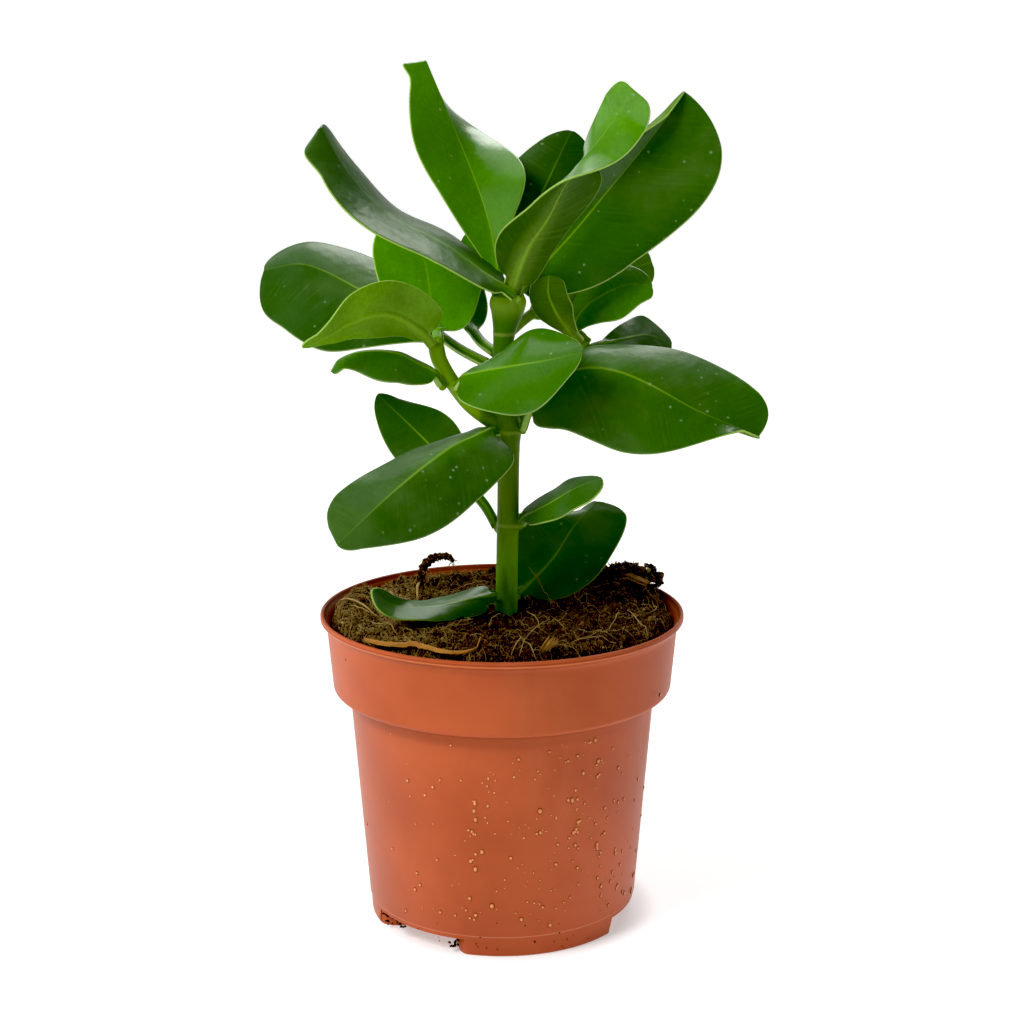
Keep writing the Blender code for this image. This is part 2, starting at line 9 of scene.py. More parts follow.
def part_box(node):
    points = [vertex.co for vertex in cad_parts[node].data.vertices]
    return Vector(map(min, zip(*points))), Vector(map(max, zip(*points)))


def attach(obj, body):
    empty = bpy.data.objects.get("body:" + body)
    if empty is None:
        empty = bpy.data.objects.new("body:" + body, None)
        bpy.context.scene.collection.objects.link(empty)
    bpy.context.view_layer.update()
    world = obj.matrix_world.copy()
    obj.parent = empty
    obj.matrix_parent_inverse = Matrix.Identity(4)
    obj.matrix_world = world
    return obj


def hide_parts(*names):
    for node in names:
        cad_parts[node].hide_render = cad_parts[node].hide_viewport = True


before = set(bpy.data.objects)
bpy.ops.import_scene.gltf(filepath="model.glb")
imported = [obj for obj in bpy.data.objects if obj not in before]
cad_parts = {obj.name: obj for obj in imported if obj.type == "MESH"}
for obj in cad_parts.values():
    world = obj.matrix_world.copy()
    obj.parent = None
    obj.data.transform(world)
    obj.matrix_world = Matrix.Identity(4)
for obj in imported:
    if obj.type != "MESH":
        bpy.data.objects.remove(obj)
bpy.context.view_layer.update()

mm = 0.001
potLow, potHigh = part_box("pot")
potAxis = Vector(((potLow.x + potHigh.x) / 2, (potLow.y + potHigh.y) / 2, 0))
print("frame loaded, pot axis at", [round(value / mm, 2) for value in potAxis])


def place(x, y, z):
    # millimetres from the middle of the pot's foot, as a place in the frame
    return potAxis + Vector((x, y, z)) * mm


# shader maths


def fromHex(code):
    # a colour as the eye sees it, turned linear
    shares = [int(code[i:i + 2], 16) / 255 for i in (0, 2, 4)]
    return tuple(s / 12.92 if s < 0.04045 else ((s + 0.055) / 1.055) ** 2.4 for s in shares) + (1.0,)


class Wire:
    # a node's output; Python's operators on it add Math nodes
    def __init__(self, tree, socket=None):
        self.tree = tree
        self.socket = socket

    def add(self, kind, settings=None, inputs=None, out=0):
        node = self.tree.nodes.new("ShaderNode" + kind)
        for name, value in (settings or {}).items():
            setattr(node, name, value)
        for name, value in (inputs or {}).items():
            if isinstance(value, Wire):
                self.tree.links.new(value.socket, node.inputs[name])
            else:
                node.inputs[name].default_value = value
        return Wire(self.tree, node.outputs[out])

    def maths(self, operation, *values):
        return self.add("Math", {"operation": operation}, dict(enumerate(values)))

    def __add__(self, other):
        return self.maths("ADD", self, other)

    __radd__ = __add__

    def __sub__(self, other):
        return self.maths("SUBTRACT", self, other)

    def __rsub__(self, other):
        return self.maths("SUBTRACT", other, self)

    def __mul__(self, other):
        return self.maths("MULTIPLY", self, other)

    __rmul__ = __mul__

    def __truediv__(self, other):
        return self.maths("DIVIDE", self, other)

    def away(self, value):
        # how far this is from a value, on either side
        off = self - value
        return off.maths("ABSOLUTE", off)

    def between(self, low, high, smooth=True):
        # 0 at low, 1 at high
        settings = {"interpolation_type": "SMOOTHSTEP" if smooth else "LINEAR"}
        return self.add("MapRange", settings, {"Value": self, "From Min": low, "From Max": high})

    def blend(self, first, second):
        # colours, first where this is 0 and second where it is 1
        return self.add("Mix", {"data_type": "RGBA"}, {0: self, 6: first, 7: second}, 2)

    def tint(self, colour, share, code):
        # the colour, mixed with a second one by a share of this
        return (self * share).blend(colour, fromHex(code))


def startMaterial(name, roughness=0.5, **fixed):
    material = bpy.data.materials.new(name)
    material.use_nodes = True
    tree = material.node_tree
    shader = tree.nodes["Principled BSDF"]
    shader.inputs["Roughness"].default_value = roughness
    for key, value in fixed.items():
        shader.inputs[key.replace("_", " ")].default_value = value
    return material, Wire(tree), shader


def plug(wire, shader, name):
    wire.tree.links.new(wire.socket, shader.inputs[name])


def bumpFrom(height, shader, strength, distance):
    bump = height.add("Bump", None, {"Strength": strength, "Distance": distance, "Height": height})
    plug(bump, shader, "Normal")


def objectPlace(wire):
    return wire.add("TexCoord", None, None, "Object")


def millimetres(wire, axis):
    # how far along x, y or z a point is
    return wire.add("SeparateXYZ", None, {0: objectPlace(wire)}, axis) / mm


def objectNoise(wire, scale, detail=3.0, roughness=0.5, stretch=None):
    where = objectPlace(wire)
    if stretch:
        where = wire.add("Mapping", None, {"Vector": where, "Scale": stretch})
    return wire.add("TexNoise", None, {"Vector": where, "Scale": scale, "Detail": detail,
                                       "Roughness": roughness})


def attribute(wire, name):
    return wire.add("Attribute", {"attribute_name": name}, None, 2)


# mesh helpers


def linkObject(name, data):
    made = bpy.data.objects.new(name, data)
    bpy.context.scene.collection.objects.link(made)
    return made


def toMesh(name, shape):
    mesh = bpy.data.meshes.new(name)
    shape.to_mesh(mesh)
    shape.free()
    return mesh


def addPiece(name, shape, materials, replaces=(), sharpDeg=None):
    # shape is a bmesh or a mesh; its place is already in its vertices
    mesh = toMesh(name, shape) if isinstance(shape, bmesh.types.BMesh) else shape
    for material in materials:
        mesh.materials.append(material)
    mesh.shade_smooth()
    if sharpDeg:
        mesh.set_sharp_from_angle(angle=math.radians(sharpDeg))
    piece = linkObject(name, mesh)
    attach(piece, "root")
    if replaces:
        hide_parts(*replaces)


def bakeModifiers(piece):
    # a mesh of the piece as its modifiers leave it, and the piece itself goes
    graph = bpy.context.evaluated_depsgraph_get()
    mesh = bpy.data.meshes.new_from_object(piece.evaluated_get(graph))
    bpy.data.objects.remove(piece, do_unlink=True)
    return mesh


def hermite(points, stations, at):
    # places on the smooth curve that passes each point at its station
    points = np.asarray(points, float)
    stations = np.asarray(stations, float)
    last = len(points) - 1
    before = np.maximum(np.arange(last + 1) - 1, 0)
    after = np.minimum(np.arange(last + 1) + 1, last)
    slopes = (points[after] - points[before]) / (stations[after] - stations[before])[:, None]
    start = np.clip(np.searchsorted(stations, at, side="right") - 1, 0, last - 1)
    step = (stations[start + 1] - stations[start])[:, None]
    x = (np.asarray(at, float) - stations[start])[:, None] / step
    rise = 3 * x ** 2 - 2 * x ** 3
    leaving = (x ** 3 - 2 * x ** 2 + x) * step * slopes[start]
    arriving = (x ** 3 - x ** 2) * step * slopes[start + 1]
    return (1 - rise) * points[start] + leaving + rise * points[start + 1] + arriving


def chordStations(points):
    chords = np.linalg.norm(np.diff(np.asarray(points, float)[:, :3], axis=0), axis=1)
    return np.concatenate(([0.0], np.cumsum(chords))) / chords.sum()


def smoothRoute(points, count):
    return hermite(points, chordStations(points), np.linspace(0, 1, count))


def addTube(shape, route, scars=(), sides=20):
    # a tube through (x, y, z, radius) points, grown ring by ring
    places = [place(x, y, z) for x, y, z, radius in route]
    ring = None
    for number, (spot, (x, y, z, radius)) in enumerate(zip(places, route)):
        ahead = places[min(number + 1, len(places) - 1)] - places[max(number - 1, 0)]
        turn = ahead.to_track_quat("Z", "Y").to_matrix().to_4x4()
        for scar in scars:
            radius += stem["scarHeight"] * math.exp(-((z - scar) / stem["scarSpread"]) ** 2)
        made = bmesh.ops.create_circle(shape, cap_ends=False, segments=sides, radius=radius * mm,
                                       matrix=Matrix.Translation(spot) @ turn)["verts"]
        edges = list({edge for vert in made for edge in vert.link_edges})
        if ring is None:
            bmesh.ops.contextual_create(shape, geom=edges)
        else:
            bmesh.ops.bridge_loops(shape, edges=ring + edges)
        ring = edges
    bmesh.ops.contextual_create(shape, geom=ring)


# camera, floor and light

view = {"x": 3.3, "y": -690.0, "z": 300.0, "pitchDeg": 13.29, "lens": 76.06, "sensor": 36.0, "pixels": 1024,
        "rayNear": 620, "rayFar": 740}
light = {
    "horizon": 1.02, "zenith": 0.28, "bandTop": 0.04, "bandFade": 0.38,
    "whiteSide": (-0.6, 0.8, 0.0), "darkShare": 0.3, "sideFade": (-0.4, 0.5),
    "blackLevel": 0.016, "aim": (0, 0, 150),
    "key": {"size": 0.5, "power": 10.0, "at": (-600, -480, 850), "shine": False, "lit": True},
    "fill": {"size": 0.7, "power": 0.8, "at": (900, -300, 500), "shine": False, "lit": True},
    "back": {"size": 0.7, "power": 5.0, "at": (200, 650, 950), "shine": True, "lit": True},
    "gleam": {"size": 1.3, "power": 5.5, "at": (-150, 300, 1100), "shine": True, "lit": False},
}
floor = {"width": 400.0, "colour": (0.6, 0.6, 0.6, 1.0), "rough": 0.9, "glow": 0.86, "nearGlow": 0.68,
         "near": 0.2, "far": 1.3, "footShadowGlow": 0.42, "footNear": 0.042, "footFar": 0.051}


def makeCamera():
    data = bpy.data.cameras.new("camera")
    data.lens = view["lens"]
    data.sensor_width = view["sensor"]
    camera = linkObject("camera", data)
    camera.location = place(view["x"], view["y"], view["z"])
    camera.rotation_euler = (math.radians(90 - view["pitchDeg"]), 0, 0)
    bpy.context.scene.camera = camera


def makeLight(name):
    facts = light[name]
    data = bpy.data.lights.new(name, "AREA")
    data.shape = "DISK"
    data.size = facts["size"]
    data.energy = facts["power"]
    lamp = linkObject(name, data)
    lamp.location = place(*facts["at"])
    lamp.visible_glossy = facts["shine"]
    lamp.visible_diffuse = facts["lit"]
    lamp.rotation_euler = (place(*light["aim"]) - lamp.location).to_track_quat("-Z", "Y").to_euler()


def makeStudio():
    scene = bpy.context.scene
    scene.view_settings.view_transform = "Standard"
    scene.view_settings.use_curve_mapping = True
    scene.view_settings.curve_mapping.black_level = [light["blackLevel"]] * 3
    world = bpy.data.worlds.new("studio")
    world.use_nodes = True
    background = world.node_tree.nodes["Background"]
    sky = Wire(world.node_tree)
    # white round the horizon behind and to the left, greyer overhead, in front and to the right
    direction = sky.add("TexCoord", None, None, "Generated")
    upward = sky.add("SeparateXYZ", None, {0: direction}, 2)
    toward = sky.add("VectorMath", {"operation": "DOT_PRODUCT"}, {0: direction, 1: light["whiteSide"]}, 1)
    strength = light["horizon"] - upward.between(light["bandTop"], light["bandFade"]) * (
        light["horizon"] - light["zenith"])
    shade = 1 - toward.between(*light["sideFade"])
    plug(strength * (1 - shade * (1 - light["darkShare"])), background, "Strength")
    background.inputs["Color"].default_value = (1, 1, 1, 1)
    scene.world = world
    for name in ("key", "fill", "back", "gleam"):
        makeLight(name)
    sheet = bmesh.new()
    bmesh.ops.create_grid(sheet, x_segments=1, y_segments=1, size=floor["width"] / 2)
    mesh = toMesh("floor", sheet)
    material, wire, shader = startMaterial("floorWhite", floor["rough"])
    shader.inputs["Base Color"].default_value = floor["colour"]
    # a light table: its glow makes up for the lamps' fading further out, and a dimmer ring of glow round the
    # pot's foot is a painted contact shadow
    shader.inputs["Emission Strength"].default_value = 1.0
    distance = wire.add("VectorMath", {"operation": "LENGTH"}, {0: objectPlace(wire)}, 1)
    foot, near, far = ([floor[key]] * 3 + [1.0] for key in ("footShadowGlow", "nearGlow", "glow"))
    # painted shadow: the floor glows less right next to the foot
    glow = distance.between(floor["footNear"], floor["footFar"]).blend(foot, near)
    plug(distance.between(floor["near"], floor["far"]).blend(glow, far), shader, "Emission Color")
    mesh.materials.append(material)
    linkObject("floor", mesh)
    print("camera, light and floor are set")


# pot

pot = {
    "turnSteps": 180, "height": 104.0, "wall": 1.2, "lipRadius": 60.0, "lipHeight": 3.2, "lipEdge": 0.65,
    "bandTop": 57.8, "bandLow": 56.1, "bandZ": 78.0, "bandCorner": 2.0,
    "bodyTop": 50.6, "bodyLow": 44.8, "floorZ": 5.5, "floorThick": 1.5,
    "footRadius": 44.1, "footInner": 31.0, "feet": 3, "footCentreDeg": 19.5, "footGapDeg": 39.0,
    "footCorner": 8.0, "footTaperDeg": 3.0, "lineZ": 7.0, "light": "B95B35", "dark": "A9502D",
    "smear": (0.08, "CE8A68"), "lineHighlight": (0.4, "E09A74"),
    "innerShadeAndStain": (0.7, "5A2814"), "speck": (0.35, "6B3420"),
    # height, half width, share and colour: painted lines, a shaded groove and a highlight on the lip, then
    # painted shadow under the lip and under the band
    "shadeAndHighlightLines": ((102.9, 0.3, 0.5, "7A2E18"), (102.3, 0.3, 0.4, "E08A58"), (101.3, 0.5, 0.4, "7A3A22"),
              (76.8, 1.2, 0.3, "7A3A22"), (75.2, 3.4, 0.25, "8A4428")),
}


def arcPoints(centre, radius, startDeg, endDeg, steps):
    points = []
    for step in range(steps + 1):
        angle = math.radians(startDeg + (endDeg - startDeg) * step / steps)
        points.append((centre[0] + radius * math.cos(angle), centre[1] + radius * math.sin(angle)))
    return points


def bodyRadius(z):
    share = (z - pot["floorZ"]) / (pot["bandZ"] - pot["floorZ"])
    return pot["bodyLow"] + (pot["bodyTop"] - pot["bodyLow"]) * share


def potProfile():
    # from the floor's top at the axis, up inside, over the lip and down outside
    wall, high, lipLow = pot["wall"], pot["height"], pot["height"] - pot["lipHeight"]
    floorTop = pot["floorZ"] + pot["floorThick"]
    ledge = pot["bandZ"] + wall
    edge = pot["lipEdge"]
    corner = (pot["bandLow"] - pot["bandCorner"], pot["bandZ"] + pot["bandCorner"])
    low, ledgeRadius = bodyRadius(floorTop) - wall, bodyRadius(pot["bandZ"]) - wall
    inside = [(0.0, floorTop), (low - 1.5, floorTop), (low, floorTop + 1.5)]
    inside += [(ledgeRadius, ledge - 0.8), (ledgeRadius + 0.8, ledge)]
    inside += arcPoints(corner, pot["bandCorner"] - wall, -90, 0, 4)
    inside += [(pot["bandTop"] - wall, lipLow - 1.0), (pot["bandTop"] - wall + 0.6, lipLow + 0.6)]
    inside += [(pot["lipRadius"] - 2 * edge - 0.3, high - 1.2)]
    lip = arcPoints((pot["lipRadius"] - edge, high - edge), edge, 180, 0, 8)
    lip += [(pot["lipRadius"], high - 1.7), (pot["lipRadius"] - 0.4, high - 2.2)]
    band = [(pot["bandTop"] + out, lipLow + up) for out, up in ((0.7, 0.3), (0.2, -0.9), (0.0, -2.2))]
    band += arcPoints(corner, pot["bandCorner"], 0, -90, 10)
    line = pot["lineZ"]
    body = [(pot["bodyTop"] + 0.8, pot["bandZ"]), (pot["bodyTop"] + 0.2, pot["bandZ"] - 0.25)]
    body += [(pot["bodyTop"], pot["bandZ"] - 0.8), (bodyRadius(line + 0.2), line + 0.2)]
    body += [(bodyRadius(line) - 0.12, line), (bodyRadius(line) - 0.3, line - 0.25)]
    foot = [(pot["footRadius"] + 0.1, 1.0)] + arcPoints((pot["footRadius"] - 0.8, 0.8), 0.8, 0, -90, 4)
    inner = pot["footInner"]
    foot += [(inner + 0.5, 0.0), (inner, 0.5), (inner - 0.3, pot["floorZ"])]
    return inside + lip + band + body + foot + [(0.0, pot["floorZ"])]


def spinProfile(profile, steps):
    # a (radius, height) outline turned about the pot's axis
    shape = bmesh.new()
    verts = [shape.verts.new(place(radius, 0, z)) for radius, z in profile]
    edges = [shape.edges.new(pair) for pair in zip(verts, verts[1:])]
    bmesh.ops.spin(shape, geom=verts + edges, cent=potAxis, axis=(0, 0, 1), angle=math.tau,
                   steps=steps, use_merge=True)
    bmesh.ops.remove_doubles(shape, verts=shape.verts, dist=1e-6)
    bmesh.ops.recalc_face_normals(shape, faces=shape.faces)
    return shape


def fromFront(radius, degrees):
    # x and y at an angle from the front, -Y, towards +X
    angle = math.radians(degrees)
    return radius * math.sin(angle), -radius * math.cos(angle)


def footGapCutter(centreDeg):
    # a prism over the gap between two feet, whose ends are rounded
    side = [(pot["footInner"] - 2, 0.0)]
    for step in range(11):
        angle = math.radians(7.8 * step)
        radius = pot["footRadius"] - pot["footCorner"] + pot["footCorner"] * math.sin(angle)
        side.append((radius, pot["footCorner"] * (1 - math.cos(angle))))
    side.append((pot["lipRadius"], side[-1][1]))
    half = pot["footGapDeg"] / 2
    right = [fromFront(r, centreDeg + half + math.degrees(extra / r)) for r, extra in side]
    left = [fromFront(r, centreDeg - half - math.degrees(extra / r)) for r, extra in side]
    shape = bmesh.new()
    face = shape.faces.new([shape.verts.new(place(x, y, -2)) for x, y in right + left[::-1]])
    raised = bmesh.ops.extrude_face_region(shape, geom=[face])["geom"]
    lifted = [part for part in raised if isinstance(part, bmesh.types.BMVert)]
    bmesh.ops.translate(shape, verts=lifted, vec=(0, 0, (pot["floorZ"] + 2) * mm))
    # the feet are narrower at the floor, so the gap closes a little upwards
    for vert in lifted:
        middle = Vector((*fromFront(1.0, centreDeg), 0))
        offset = vert.co - potAxis
        hand = 1 if middle.x * offset.y - middle.y * offset.x < 0 else -1
        vert.co = potAxis + Matrix.Rotation(hand * math.radians(pot["footTaperDeg"]), 3, "Z") @ offset
    bmesh.ops.recalc_face_normals(shape, faces=shape.faces)
    return linkObject("footGap", toMesh("footGap", shape))


def potMaterial():
    material, wire, shader = startMaterial("terracottaPlastic", 0.4, Specular_IOR_Level=0.17)
    cloud = objectNoise(wire, 26.0, 4.0)
    colour = cloud.between(0.3, 0.7).blend(fromHex(pot["dark"]), fromHex(pot["light"]))
    # damp smears and faint dust that washes down the wall
    streak = objectNoise(wire, 55.0, 3.0, 0.6, (1.0, 1.0, 0.12)).between(0.56, 0.74)
    colour = streak.tint(colour, *pot["smear"])
    # a painted highlight along the moulded line above the foot, where it would catch the light
    height = millimetres(wire, 2)
    colour = (1 - height.away(pot["lineZ"]).between(0.1, 0.35)).tint(colour, *pot["lineHighlight"])
    # painted shade and highlight lines round the wall
    for z, half, share, code in pot["shadeAndHighlightLines"]:
        colour = (1 - height.away(z).between(half * 0.4, half)).tint(colour, share, code)
    # the wall inside the lip, which leans outwards, is darkened: painted shade inside the pot, and soil
    # stain
    flat = wire.add("VectorMath", {"operation": "MULTIPLY"}, {0: objectPlace(wire), 1: (1.0, 1.0, 0.0)})
    radius = wire.add("VectorMath", {"operation": "DISTANCE"}, {0: flat, 1: potAxis}, 1) / mm
    inside = 1 - (radius - (height - 100) * 0.55).between(57.1, 57.6)
    colour = inside.tint(colour, *pot["innerShadeAndStain"])
    colour = objectNoise(wire, 900.0, 2.0).between(0.74, 0.8).tint(colour, *pot["speck"])
    plug(colour, shader, "Base Color")
    plug(0.36 + 0.12 * cloud + 0.1 * streak, shader, "Roughness")
    bumpFrom(objectNoise(wire, 1400.0, 2.0), shader, 0.12, 0.0002)
    return material


def makePot():
    turned = linkObject("turned", toMesh("turned", spinProfile(potProfile(), pot["turnSteps"])))
    cutters = []
    for gap in range(pot["feet"]):
        cutters.append(footGapCutter(pot["footCentreDeg"] + (gap + 0.5) * 360 / pot["feet"]))
        cut = turned.modifiers.new("gap", "BOOLEAN")
        cut.object = cutters[-1]
    mesh = bakeModifiers(turned)
    for cutter in cutters:
        bpy.data.objects.remove(cutter, do_unlink=True)
    addPiece("nurseryPot", mesh, [potMaterial()], ["pot"], 35)
    print("pot is turned")


# water on the pot

water = {
    "seed": 5, "scattered": 190, "size": (0.34, 0.9), "flat": 0.55, "sink": 0.12,
    "rimShadeColour": "6A2A10", "midHighlightColour": "F09A60",
    "gatherDeg": (22, 26), "gatherShare": 0.72, "depth": 64, "lowest": 9,
    # runs of drops: the pixel column, the rows it spans and the count
    "runs": ((472, 800, 900, 16), (485, 775, 880, 8), (575, 770, 850, 12), (598, 760, 905, 16),
             (618, 790, 890, 9)),
    # single drops: pixel across, pixel down and size
    "big": ((540, 811, 1.0), (583, 773, 0.9), (598, 761, 0.9), (595, 740, 0.8), (492, 906, 1.0),
            (550, 925, 0.9), (433, 787, 0.8), (425, 795, 0.7), (568, 800, 0.8), (556, 818, 0.7),
            (604, 833, 0.8), (524, 838, 0.6), (575, 845, 0.8), (612, 872, 0.7), (470, 918, 0.6),
            (590, 742, 0.7), (440, 780, 0.6), (608, 905, 0.7), (633, 875, 1.0), (631, 890, 1.1),
            (636, 850, 0.7), (641, 815, 0.7), (645, 790, 0.6), (648, 762, 0.6), (527, 902, 0.5),
            (505, 880, 0.5), (380, 800, 0.4), (660, 695, 0.6), (345, 660, 0.3)),
}


def outerRadius(z):
    # the pot's outside, in millimetres
    return pot["bandTop"] - 0.05 if z > pot["bandZ"] else bodyRadius(z)


def pixelOnPot(across, down):
    # the spot on the pot's outside that this pixel of the 1024 px picture shows
    middle = view["pixels"] / 2
    focal = view["lens"] / view["sensor"] * view["pixels"]
    pitch = math.radians(view["pitchDeg"])
    ahead = Vector((0, math.cos(pitch), -math.sin(pitch)))
    upward = Vector((0, math.sin(pitch), math.cos(pitch)))
    ray = ahead + Vector((1, 0, 0)) * (across - middle) / focal + upward * (middle - down) / focal
    eye = Vector((view["x"], view["y"], view["z"]))
    for step in range(view["rayNear"] * 10, view["rayFar"] * 10):
        spot = eye + ray * step / 10
        if math.hypot(spot.x, spot.y) <= outerRadius(spot.z) + 0.02:
            return math.degrees(math.atan2(spot.x, -spot.y)), spot.z
    return (90 if across > middle else -90), spot.z


def addDrop(shape, degrees, z, size, drip=1.0):
    # a bead that sits on the wall, a little sunk into it
    radius = outerRadius(z) - size * water["sink"]
    x, y = fromFront(radius, degrees)
    turn = Matrix.Rotation(math.radians(degrees), 4, "Z")
    bead = Matrix.Diagonal((size * mm, size * water["flat"] * mm, size * drip * mm, 1.0))
    made = bmesh.ops.create_uvsphere(shape, u_segments=8, v_segments=6, radius=1.0,
                                     matrix=Matrix.Translation(place(x, y, z)) @ turn @ bead)
    crown = shape.verts.layers.float["crown"]
    outward = Vector((*fromFront(1.0, degrees), 0))
    for vert in made["verts"]:
        vert[crown] = (vert.co - place(x, y, z)).dot(outward) / (size * water["flat"] * mm)


def makeWater():
    luck = random.Random(water["seed"])
    shape = bmesh.new()
    shape.verts.layers.float.new("crown")
    low, high = water["size"]
    for across, down, size in water["big"]:
        addDrop(shape, *pixelOnPot(across, down), size, luck.uniform(1.0, 1.25))
    for across, top, bottom, count in water["runs"]:
        for number in range(count):
            degrees, z = pixelOnPot(across + luck.uniform(-4, 4), luck.uniform(top, bottom))
            addDrop(shape, degrees, z, luck.uniform(low, high), luck.uniform(1.0, 1.5))
    for number in range(water["scattered"]):
        # most of it is on the right and low down, and a little goes all round
        gathers = luck.random() < water["gatherShare"]
        degrees = luck.gauss(*water["gatherDeg"]) if gathers else luck.uniform(-180, 180)
        z = pot["bandZ"] - 3 - water["depth"] * luck.random() ** 0.75
        addDrop(shape, degrees, max(z, water["lowest"]), low + (high - low) * luck.random() ** 2)
    # painted light: a bead takes the wall's colour, with painted shade round its rim and a painted highlight
    # in its middle, in place of light bent through the water
    material, wire, shader = startMaterial("waterDrops", 0.12, Specular_IOR_Level=0.2)
    middle = attribute(wire, "crown").between(0.45, 1.0)
    plug(middle.blend(fromHex(water["rimShadeColour"]), fromHex(water["midHighlightColour"])), shader, "Base Color")
    addPiece("waterDrops", shape, [material])
    print("water drops sit on the pot")


# soil

soil = {
    "level": 103.6, "lumps": ((43, 27, 7.5, 9), (24, 33, 3.5, 9), (2, -36, 1.6, 15), (-49, 14, 1.6, 12),
                              (-28, 24, -2.6, 13)),
    "grain": ((0.11, 2.0), (0.27, 0.9)), "edge": 53.0, "seed": 4.0, "cells": 150,
    "fine": ((0.55, 1.1), (1.3, 0.7), (2.9, 0.35)),
    "dark": "1E110A", "mid": "3A2412", "warm": "74502A", "speck": (0.5, "98804E"),
    "slope": 0.9, "fineSeed": 9,
}


def soilHeight(x, y):
    height = soil["level"]
    for lumpX, lumpY, rise, spread in soil["lumps"]:
        height += rise * math.exp(-(math.hypot(x - lumpX, y - lumpY) / spread) ** 2 / 2)
    for fineness, size in soil["grain"]:
        height += size * noise.noise(Vector((x * fineness, y * fineness, soil["seed"])))
    return height - soil["slope"] * max(0.0, math.hypot(x, y) - soil["edge"])


def soilSurface(x, y):
    # the soil with its crumbs
    height = soilHeight(x, y)
    for fineness, size in soil["fine"]:
        height += size * noise.noise(Vector((x * fineness, y * fineness, soil["seed"] + soil["fineSeed"])))
    return height


def soilMaterial(name, dark, mid, warm, scale=420.0):
    material, wire, shader = startMaterial(name, 0.95, Specular_IOR_Level=0.25)
    grain = objectNoise(wire, scale, 6.0, 0.7)
    patch = objectNoise(wire, 70.0, 3.0)
    colour = grain.between(0.35, 0.6).blend(fromHex(dark), fromHex(mid))
    colour = (grain.between(0.55, 0.75) * patch.between(0.35, 0.65)).blend(colour, fromHex(warm))
    colour = objectNoise(wire, 2200.0, 2.0).between(0.57, 0.66).tint(colour, *soil["speck"])
    plug(colour, shader, "Base Color")
    bumpFrom(objectNoise(wire, 1500.0, 5.0, 0.7), shader, 0.8, 0.0008)
    return material


def makeSoil():
    cells = soil["cells"]
    rim = pot["bandTop"] - pot["wall"] - 0.2
    disc = bmesh.new()
    bmesh.ops.create_grid(disc, x_segments=cells, y_segments=cells, size=1.0)
    for vert in disc.verts:
        squareX, squareY = vert.co.x, vert.co.y
        x = rim * squareX * math.sqrt(1 - squareY ** 2 / 2)
        y = rim * squareY * math.sqrt(1 - squareX ** 2 / 2)
        vert.co = place(x, y, soilSurface(x, y))
    edge = [e for e in disc.edges if e.is_boundary]
    # down the pot's inside, ring by ring
    floorTop = pot["floorZ"] + pot["floorThick"] + 0.3
    clear = pot["wall"] + 0.3
    band, top, low = pot["bandLow"] - clear, pot["bodyTop"] - clear, pot["bodyLow"] - clear
    steps = ((band, pot["bandZ"] + 4), (band - 1.5, pot["bandZ"] + 1.6), (top, pot["bandZ"] + 1.5),
             (low, floorTop + 2), (low - 2, floorTop))
    for radius, z in steps:
        grown = bmesh.ops.extrude_edge_only(disc, edges=edge)["geom"]
        edge = [part for part in grown if isinstance(part, bmesh.types.BMEdge)]
        for vert in [part for part in grown if isinstance(part, bmesh.types.BMVert)]:
            flat = (vert.co - potAxis) * Vector((1, 1, 0))
            vert.co = potAxis + flat.normalized() * radius * mm + Vector((0, 0, z * mm))
    bmesh.ops.contextual_create(disc, geom=edge)
    bmesh.ops.recalc_face_normals(disc, faces=disc.faces)
    addPiece("pottingSoil", disc, [soilMaterial("coirSoil", soil["dark"], soil["mid"], soil["warm"])],
             ["soil"])
    print("soil is filled in")


# what lies in and on the soil

litter = {
    "seed": 11, "edge": 55.4, "stemX": 1.5, "stemClear": 5.0,
    "crumbs": 6000, "crumbSize": (0.2, 0.95), "curls": 1900, "rootlets": 200, "straws": 70,
    "curlThick": 0.06, "rootThick": 0.07, "strawThick": 0.075,
    "tan": "A48A54", "pale": "FFFAEC", "brown": "4E3016", "black": "3C2614", "orange": "A87430",
    "chip": "9C7438", "mossEdge": -6, "mossyShare": 0.45, "lot": 100, "strawBold": 0.19,
    # the ragged lump at the right with its fringe, as middle and spread across and back
    "lump": ((43, 6), (27, 6)), "lumpCrumbs": 90, "fringeAt": ((44, 5.5), (27, 5)), "fringe": 130,
    "fringeThick": 0.11,
    # the clod of it that hangs over the lip
    "clod": (46, 24, 110.5), "clodCrumbs": 120,
    # where soil washed out under the foot: degrees from the front, reach, height and count
    "clumps": ((-62, 43.6, 4.6, 9), (-60, 43.4, 2.4, 6), (-52, 43.6, 4.9, 9), (-46, 43.2, 4.8, 5),
               (-21, 42.6, 2.4, 6), (-20, 43.4, 4.2, 6)),
    "wallSpecks": 26, "hairs": 7, "hairThick": 0.14,
    "twig": ((-28.6, 33, 100, 1.5), (-28.4, 34, 105, 1.4), (-27.2, 34, 109.5, 1.6), (-24.5, 34, 112.3, 1.7),
             (-21, 34, 113.3, 1.5), (-18.5, 34, 113, 1.1), (-16.9, 34, 111.4, 0.7)),
    # two loose roots: the route, the thickness and the material's number
    "roots": ((((-28.5, 13, 103.4), (-28.8, 18, 106.2), (-28.6, 25, 106.0), (-28.6, 33, 104.0)), 0.5, 3),
              (((-54.5, 8, 104.6), (-51, 1, 107.2), (-46, -4, 106.8), (-41, -10, 104.4)), 0.4, 2)),
    # x, y and half width along the strip
    "strip": ((-43, -38, 1.2), (-38, -42, 1.7), (-32, -44, 1.7), (-28, -44.5, 1.9), (-23, -47, 1.7),
              (-19, -50.5, 1.3), (-15, -52.4, 0.8), (-10, -51.5, 0.5), (-7, -47, 0.3), (-6, -43, 0.2)),
    "stripShades": (1, 0, 1, 2, 0, 1, 0, 1), "stripLow": 104.8, "stripThick": 0.3,
    # x, y, lift, half length, half width, turn and tilt
    "chips": ((15.0, -50.5, 1.6, 3.4, 2.0, 62, 22), (45.5, 15.5, 3.4, 4.6, 2.0, -32, -14)), "chipFibres": 26,
}
